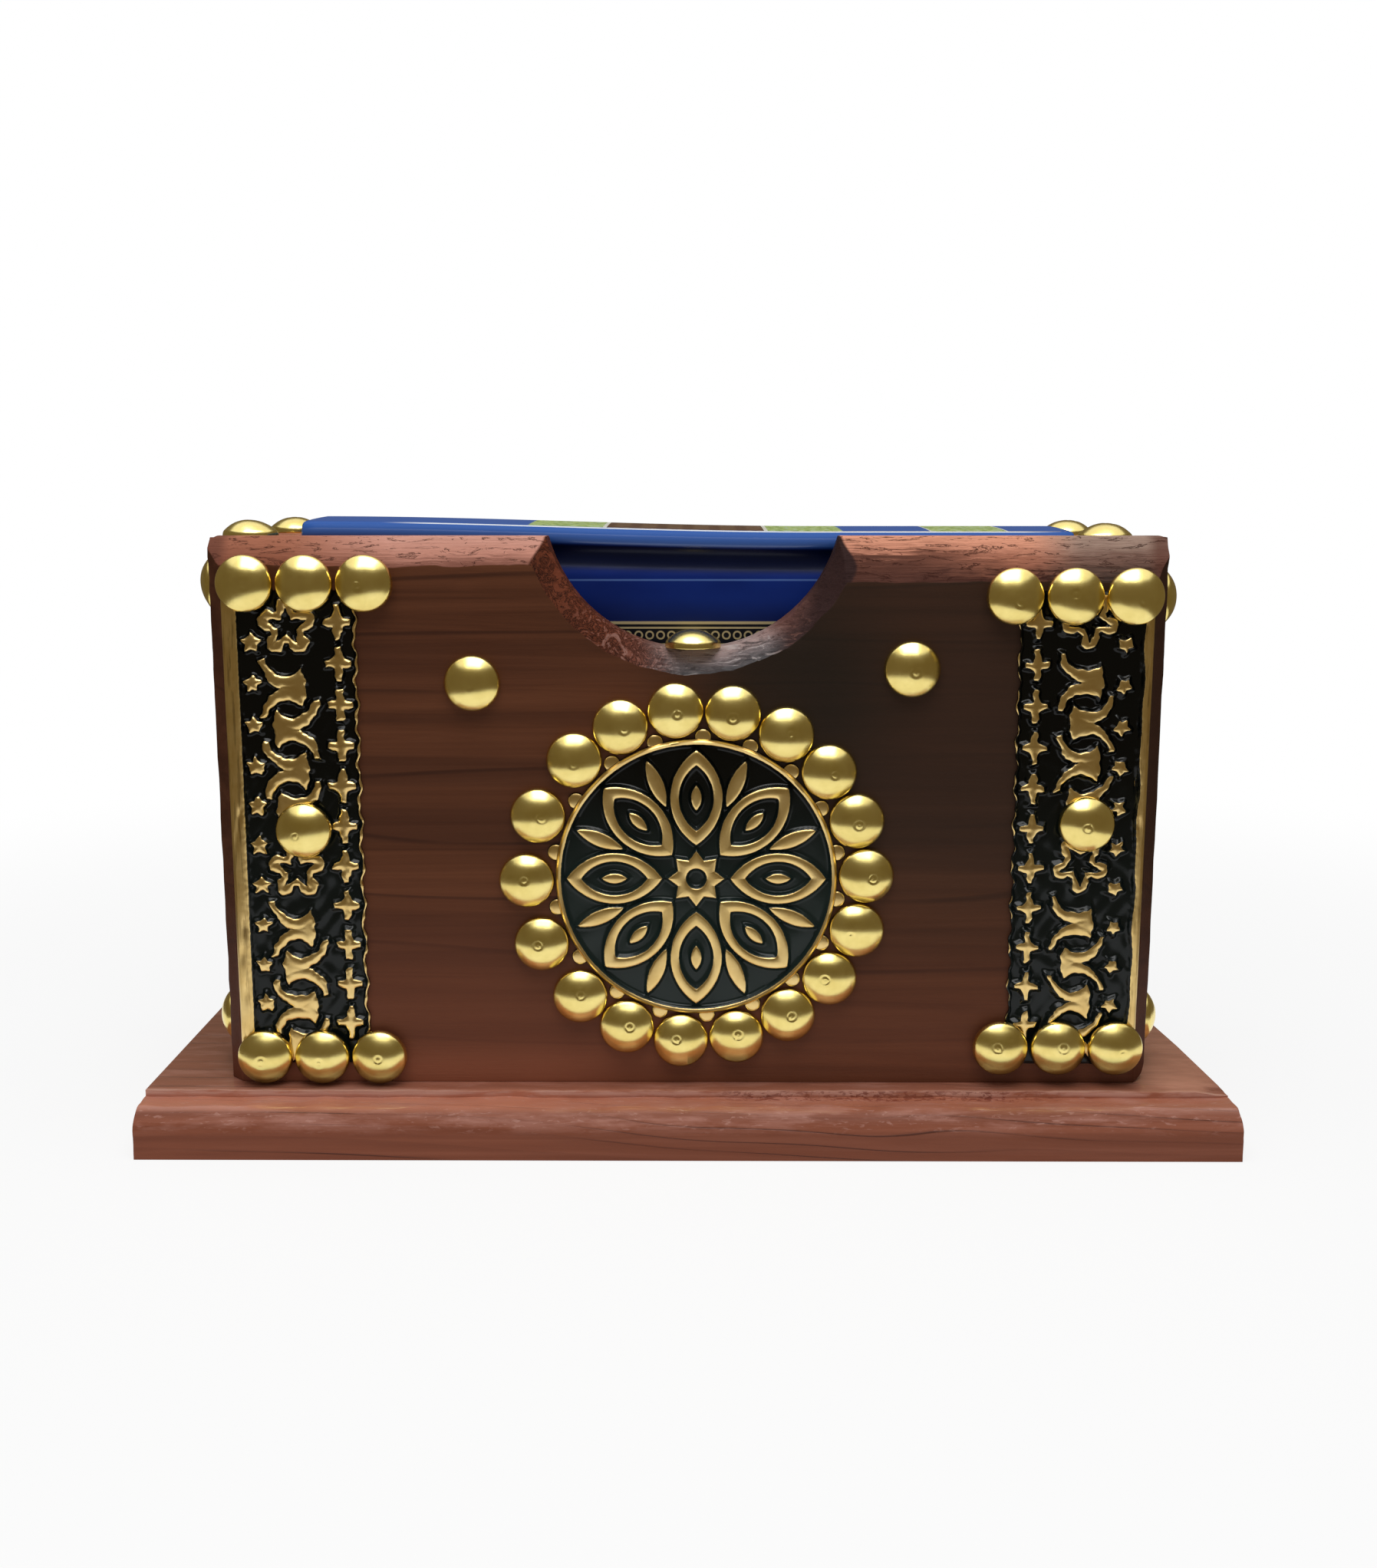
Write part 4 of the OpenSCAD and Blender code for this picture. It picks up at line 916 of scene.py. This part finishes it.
# Places of the studs: rows of three on the front strips by distance from their outer edge, and the rest
FRONT, LEFT, RIGHT, UP = (0, -1, 0), (-1, 0, 0), (1, 0, 0), (0, 0, 1)
STUD_STEP = 16.7
LEFT_ROW, LEFT_ROW_Z, LEFT_SINGLE = 23.8, (162.0, 24.5), (21.0, 92.0)
RIGHT_ROW, RIGHT_ROW_Z, RIGHT_SINGLE = 22.7, (158.5, 27.5), (17.0, 94.0)
FIELD_PLACES = [(-60.8, 134), (63.2, 138)]
NOTCH_STUD_Y, NOTCH_STUD_Z = -44, 143.45
SIDE_STUD_Y, SIDE_FOOT_Z, LEFT_SIDE_Z, RIGHT_SIDE_Z = 31, 30.5, 161, 157
LEFT_RIM_X, LEFT_RIM_Y = -128, (-27.5, 27.5)
RIGHT_RIM_X, RIGHT_RIM_Y, RIGHT_RIM_DROP = 122.5, (-24, 27.5), 1


def strip_places(row, heights, single):
    return [(row + i * STUD_STEP, z) for z in heights for i in (-1, 0, 1)] + [single]


def side_places(x, high):
    return [(x, y, z) for y in (-SIDE_STUD_Y, SIDE_STUD_Y) for z in (high, SIDE_FOOT_Z)]


def ring_place(i):
    turn = math.radians(ring_angle(i))
    return MEDALLION_X + RING_R * math.cos(turn), FRONT_Y, MEDALLION_Z + RING_R * math.sin(turn)


outer_x, strip_y, side_x = SIDE_X - STRIP_EDGE, FRONT_Y - STRIP_FACE, SIDE_X + STRIP_FACE
left_places = strip_places(LEFT_ROW, LEFT_ROW_Z, LEFT_SINGLE)
right_places = strip_places(RIGHT_ROW, RIGHT_ROW_Z, RIGHT_SINGLE)
add_studs("front_left_studs", FRONT, [(u - outer_x, strip_y, z) for u, z in left_places])
add_studs("front_right_studs", FRONT, [(outer_x - u, strip_y, z) for u, z in right_places])
add_studs("field_studs", FRONT, [(x, FRONT_Y, z) for x, z in FIELD_PLACES])
add_studs("medallion_studs", FRONT, [ring_place(i) for i in range(RING_COUNT)])
add_studs("notch_stud", UP, [(NOTCH_X, NOTCH_STUD_Y, NOTCH_STUD_Z)])
add_studs("left_side_studs", LEFT, side_places(-side_x, LEFT_SIDE_Z))
add_studs("right_side_studs", RIGHT, side_places(side_x, RIGHT_SIDE_Z))
add_studs("left_rim_studs", UP, [(LEFT_RIM_X, y, RIM_Z) for y in LEFT_RIM_Y])
add_studs("right_rim_studs", UP, [(RIGHT_RIM_X, y, RIM_Z - RIGHT_RIM_DROP) for y in RIGHT_RIM_Y])


# Bound volume: a bent cover with rounded shoulders, in one loop

COVER_MID_Z = 95.0
COVER_SIDE, COVER_SLICES = 108.0, 28
COVER_ENDS = [(COVER_X - 0.8, 0.0), (COVER_X - 0.25, 0.28), (COVER_X, 0.7)]


def cover_loop():
    """Closed section (y, z), as its outside from front foot to back foot, and its inside back again."""
    front = [(-32.4, COVER_FOOT), (-33.0, 16.8), (-33.0, 60.0), (-33.0, 110.0), (-33.0, 150.0),
             (-33.0, 163.8), (-32.7, 165.6), (-31.9, 167.4), (-31.2, 169.2), (-31.1, 171.0),
             (-31.4, 172.5), (-32.3, 173.5), (-33.0, 174.4), (-33.0, 175.8), (-32.6, 177.2),
             (-31.7, 178.2), (-30.2, 178.7), (-27.0, 178.9), (-20.0, 179.2), (-10.0, 179.5)]
    outside = front + [(0.0, COVER_TOP)] + [(-y, z) for y, z in reversed(front)]
    half = [(30.6, COVER_FOOT), (30.0, 16.8), (30.0, 163.0), (29.2, 168.0), (29.2, 173.0),
            (28.0, 175.0), (14.0, 176.2)]
    inside = half + [(0.0, 176.6)] + [(-y, z) for y, z in reversed(half)]
    return np.array(outside), np.array(inside)


def lean(x, z):
    """The volume stands a little lower at its right-hand end."""
    drop = LEAN * smooth((x - LEAN_FROM) / (LEAN_TO - LEAN_FROM))
    return z - drop * (z - COVER_FOOT) / (COVER_TOP - COVER_FOOT)


outside, inside = cover_loop()
stations = [(-x, inset) for x, inset in reversed(COVER_ENDS)]
stations += [(x, 0.0) for x in np.linspace(-COVER_SIDE, COVER_SIDE, COVER_SLICES)]
stations += COVER_ENDS
loops = []
for x, inset in stations:
    toward = np.sign(np.array([0.0, COVER_MID_Z]) - outside) * inset
    y, z = np.concatenate([outside + toward, inside]).T
    loops.append(np.stack([np.full(len(y), x), y, lean(x, z)], -1))
faces = ring_faces(len(loops), len(loops[0]))
mesh = new_mesh("volume_cover_bound", np.concatenate(loops), faces)
bm = bmesh.new()
bm.from_mesh(mesh)
bmesh.ops.recalc_face_normals(bm, faces=bm.faces)
bm.to_mesh(mesh)
bm.free()
add_piece(mesh, COVER, "volume", "volume_cover")


# Carried-over solids: eased edges and materials

FLAT_ANGLE = math.radians(0.5)
WAVE_LONG, WAVE_SHORT, WAVE_SHARE, WAVE_SEED = 9.0, 3.2, 0.45, 7


def ease(node, width_mm, material):
    obj = nodes[node]
    dress(obj, material)
    weld = obj.modifiers.new("weld", "WELD")
    weld.merge_threshold = WELD
    bevel = obj.modifiers.new("ease", "BEVEL")
    bevel.width = width_mm * MM
    bevel.segments = 3
    bevel.limit_method = "ANGLE"
    bevel.angle_limit = EDGE_ANGLE
    bevel.harden_normals = True


def carve(node, material, ease_mm, cuts, sway, worn=None):
    """Copy of a wooden piece with rounded edges and the slight waves of hand work.

    cuts lists the places across x, y and z where faces are divided; sway gives a wave's depth at a
    point, and worn how far the surface there has gone down."""
    bm = bmesh.new()
    bm.from_mesh(nodes[node].data)
    bmesh.ops.remove_doubles(bm, verts=bm.verts, dist=WELD)
    bmesh.ops.dissolve_limit(bm, angle_limit=FLAT_ANGLE, verts=bm.verts, edges=bm.edges)
    low = [min(v.co[k] for v in bm.verts) for k in range(3)]
    high = [max(v.co[k] for v in bm.verts) for k in range(3)]
    sharp = [e for e in bm.edges if e.is_manifold and e.calc_face_angle(0.0) > EDGE_ANGLE]
    bmesh.ops.bevel(bm, geom=sharp, offset=ease_mm * MM, offset_type="OFFSET", segments=3, profile=0.5,
                    affect="EDGES", clamp_overlap=True)
    for axis, places in enumerate(cuts):
        across = Vector([float(k == axis) for k in range(3)])
        for place in places:
            bmesh.ops.bisect_plane(bm, geom=bm.verts[:] + bm.edges[:] + bm.faces[:], dist=1e-7,
                                   plane_co=across * place * MM, plane_no=across)
    for v in bm.verts:
        p = v.co / MM
        if worn:
            v.co.z -= worn(p.x, p.y, p.z) * MM
        deep = sway(p.x, p.y, p.z)
        if deep <= 0:
            continue
        shift = noise.noise_vector(p / WAVE_LONG)
        shift = shift + WAVE_SHARE * noise.noise_vector(p / WAVE_SHORT)
        moved = v.co + shift * deep * MM
        v.co = [min(max(moved[k], low[k]), high[k]) for k in range(3)]
    mesh = bpy.data.meshes.new(node + "_carved")
    bm.to_mesh(mesh)
    bm.free()
    obj = add_piece(mesh, material, "box", node)
    even = obj.modifiers.new("even", "WEIGHTED_NORMAL")
    even.keep_sharp = True


def front_sway(x, y, z):
    near_rim = smooth((z - 158.0) / 6.0)
    near_notch = 1 - smooth((math.hypot(x - NOTCH_X, z - NOTCH_Z) - 50.0) / 4.0)
    corner = smooth((abs(x) - 128.0) / 3.0)
    outside = smooth((-38.0 - y) / 5.0)
    deep = max(0.03, 0.62 * max(near_rim, near_notch), 0.3 * corner)
    return outside * deep * smooth((z - PLINTH_TOP) / 3.0)


def past_end(x, y):
    """How far a point is past the plinth's right-hand end, which is sawn aslant."""
    return x - PLINTH_X + END_SLANT * (y + PLINTH_Y)


def plinth_sway(x, y, z):
    end = smooth((max(-x - PLINTH_X, past_end(x, y)) + 5.5) / 4.0)
    edge = smooth((abs(y) - 53.0) / 3.0)
    return max(0.55 * end, 0.4 * edge) * smooth(z / 4.0)


def plinth_wear(x, y, z):
    near_end = smooth((past_end(x, y) + 9.0) / 7.0)
    crest = smooth((abs(y) - 50.0) / 9.0) * smooth((z - 14.0) / 1.6)
    return 1.3 * near_end * crest


noise.seed_set(WAVE_SEED)
rim_cuts = np.concatenate([np.arange(22, 130, 6.0), np.arange(130, 175, 1.5)])
front_cuts = (np.arange(-134, 135, 2.0), np.arange(-50, -37, 2.0), rim_cuts)
carve("front_board", BOARD, 0.7, front_cuts, front_sway)
step_cuts = np.arange(53.0, 72.4, 1.5)
step_cuts = np.concatenate([-step_cuts, step_cuts])
plinth_cuts = (np.arange(-156, 157, 3.0), step_cuts, np.arange(2, 16, 2.0))
carve("plinth", PLINTH, 0.9, plinth_cuts, plinth_sway, plinth_wear)
for board in ("back_board", "left_board", "right_board"):
    ease(board, 0.6, BOARD)
dress(nodes["volume_pages"], PAGES)
dress(nodes["volume_headbands"], BANDS)
for fasteners in ("plinth_screws", "corner_pins"):
    dress(nodes[fasteners], STEEL)


# Stage in metres: pale floor, white surround, soft lamp, and a dark surround seen in reflections alone

FLOOR_SIZE = 6.0
NEAR_WHITE, FADE_FROM, FADE_TO = 0.84, 0.22, 0.62
FILL = 0.3
WHITE = (1.0, 1.0, 1.0, 1.0)
PALE = (0.9, 0.9, 0.9, 1.0)
DIM = (0.14, 0.11, 0.066, 1.0)
WALL_R, WALL_TOP, WALL_FOOT, WALL_SIDES, NEAR_R = 1.3, 1.25, 0.002, 24, 0.3
WALL_RINGS = ((WALL_R, WALL_TOP, (0, 1)), (WALL_R, WALL_FOOT, (1, 0)), (NEAR_R, WALL_FOOT, (1, 0)))
LAMP_PLACE, LAMP_AIM = np.array([-0.01, -0.24, 0.8]), np.array([0.0, -0.1, 0.05])
LAMP_SIZE, LAMP_WATTS = (0.58, 0.66), 4.5
CAMERA_PLACE, CAMERA_DOWN, CAMERA_TURN, CAMERA_LENS = (0.0027, -0.5185, 0.1877), 10.04, 0.3, 38.15


def mix_shaders(tree, fac, a, b):
    node = shader_node(tree, "MixShader")
    for socket, value in zip(node.inputs, (fac, a, b)):
        tree.links.new(value, socket)
    return node.outputs[0]


def seen_white(tree, lit, white):
    """Shader that shows white to the camera and in reflections, and the lit shader to diffuse light."""
    path = shader_node(tree, "LightPath")
    total = path.outputs["Is Camera Ray"]
    for name in ("Is Glossy Ray", "Is Transmission Ray"):
        either = shader_node(tree, "Math", "MAXIMUM")
        tree.links.new(total, either.inputs[0])
        tree.links.new(path.outputs[name], either.inputs[1])
        total = either.outputs[0]
    return mix_shaders(tree, total, lit, white)


def stage_material(name):
    material = bpy.data.materials.new(name)
    material.use_nodes = True
    tree = material.node_tree
    return material, tree, tree.nodes["Material Output"].inputs["Surface"]


def add_stage(name, corners, faces, material):
    mesh = bpy.data.meshes.new(name)
    mesh.from_pydata(corners, [], faces)
    obj = new_object(name, mesh)
    dress(obj, material)
    return obj


material, tree, surface = stage_material("pale_floor")
diffuse = shader_node(tree, "BsdfDiffuse", Color=PALE)
glow = shader_node(tree, "Emission", Color=WHITE, Strength=1.0)
away = shader_node(tree, "VectorMath", "LENGTH")
tree.links.new(shader_node(tree, "TexCoord").outputs["Object"], away.inputs[0])
fade = shader_node(tree, "MapRange", From_Min=FADE_FROM, From_Max=FADE_TO,
                   To_Min=NEAR_WHITE, To_Max=1.0)
fade.interpolation_type = "SMOOTHSTEP"
tree.links.new(away.outputs["Value"], fade.inputs["Value"])
part_white = mix_shaders(tree, fade.outputs["Result"], diffuse.outputs[0], glow.outputs[0])
tree.links.new(seen_white(tree, diffuse.outputs[0], part_white), surface)
corners = [(x * FLOOR_SIZE, y * FLOOR_SIZE, 0) for x, y in ((-1, -1), (1, -1), (1, 1), (-1, 1))]
add_stage("floor", corners, [[0, 1, 2, 3]], material)

world = bpy.data.worlds.new("surround")
bpy.context.scene.world = world
world.use_nodes = True
tree = world.node_tree
fill = tree.nodes["Background"]
fill.inputs["Color"].default_value = WHITE
fill.inputs["Strength"].default_value = FILL
white = shader_node(tree, "Background", Color=WHITE, Strength=1.0)
shown = seen_white(tree, fill.outputs[0], white.outputs[0])
tree.links.new(shown, tree.nodes["World Output"].inputs["Surface"])

material, tree, surface = stage_material("dark_surround")
dim = shader_node(tree, "Emission", Color=DIM)
tree.links.new(dim.outputs[0], surface)
corners, quads = [], []
for k in range(WALL_SIDES):
    base = len(corners)
    for r, z, ends in WALL_RINGS:
        for end in ends:
            a = 2 * math.pi * (k + end) / WALL_SIDES
            corners.append((r * math.cos(a), r * math.sin(a), z))
    quads += [[base, base + 1, base + 2, base + 3], [base + 3, base + 2, base + 4, base + 5]]
surround = add_stage("dark_surround", corners, quads, material)
surround.visible_camera = False
surround.visible_diffuse = False
surround.visible_shadow = False
surround.visible_transmission = False
surround.visible_volume_scatter = False

lamp = bpy.data.lights.new("softbox", "AREA")
lamp.shape = "RECTANGLE"
lamp.size, lamp.size_y = LAMP_SIZE
lamp.energy = LAMP_WATTS
softbox = new_object("softbox", lamp)
softbox.location = LAMP_PLACE
x, y, z = LAMP_AIM - LAMP_PLACE
softbox.rotation_euler = (math.atan2(math.hypot(x, y), -z), 0.0, math.atan2(-x, y))
softbox.visible_camera = False

# Camera at the photograph's place
camera_data = bpy.data.cameras.new("camera")
camera_data.sensor_width = 36.0
camera_data.lens = CAMERA_LENS
camera = new_object("camera", camera_data)
camera.location = CAMERA_PLACE
camera.rotation_euler = (math.radians(90 - CAMERA_DOWN), 0.0, math.radians(CAMERA_TURN))
bpy.context.scene.camera = camera
bpy.context.scene.view_settings.view_transform = "Standard"
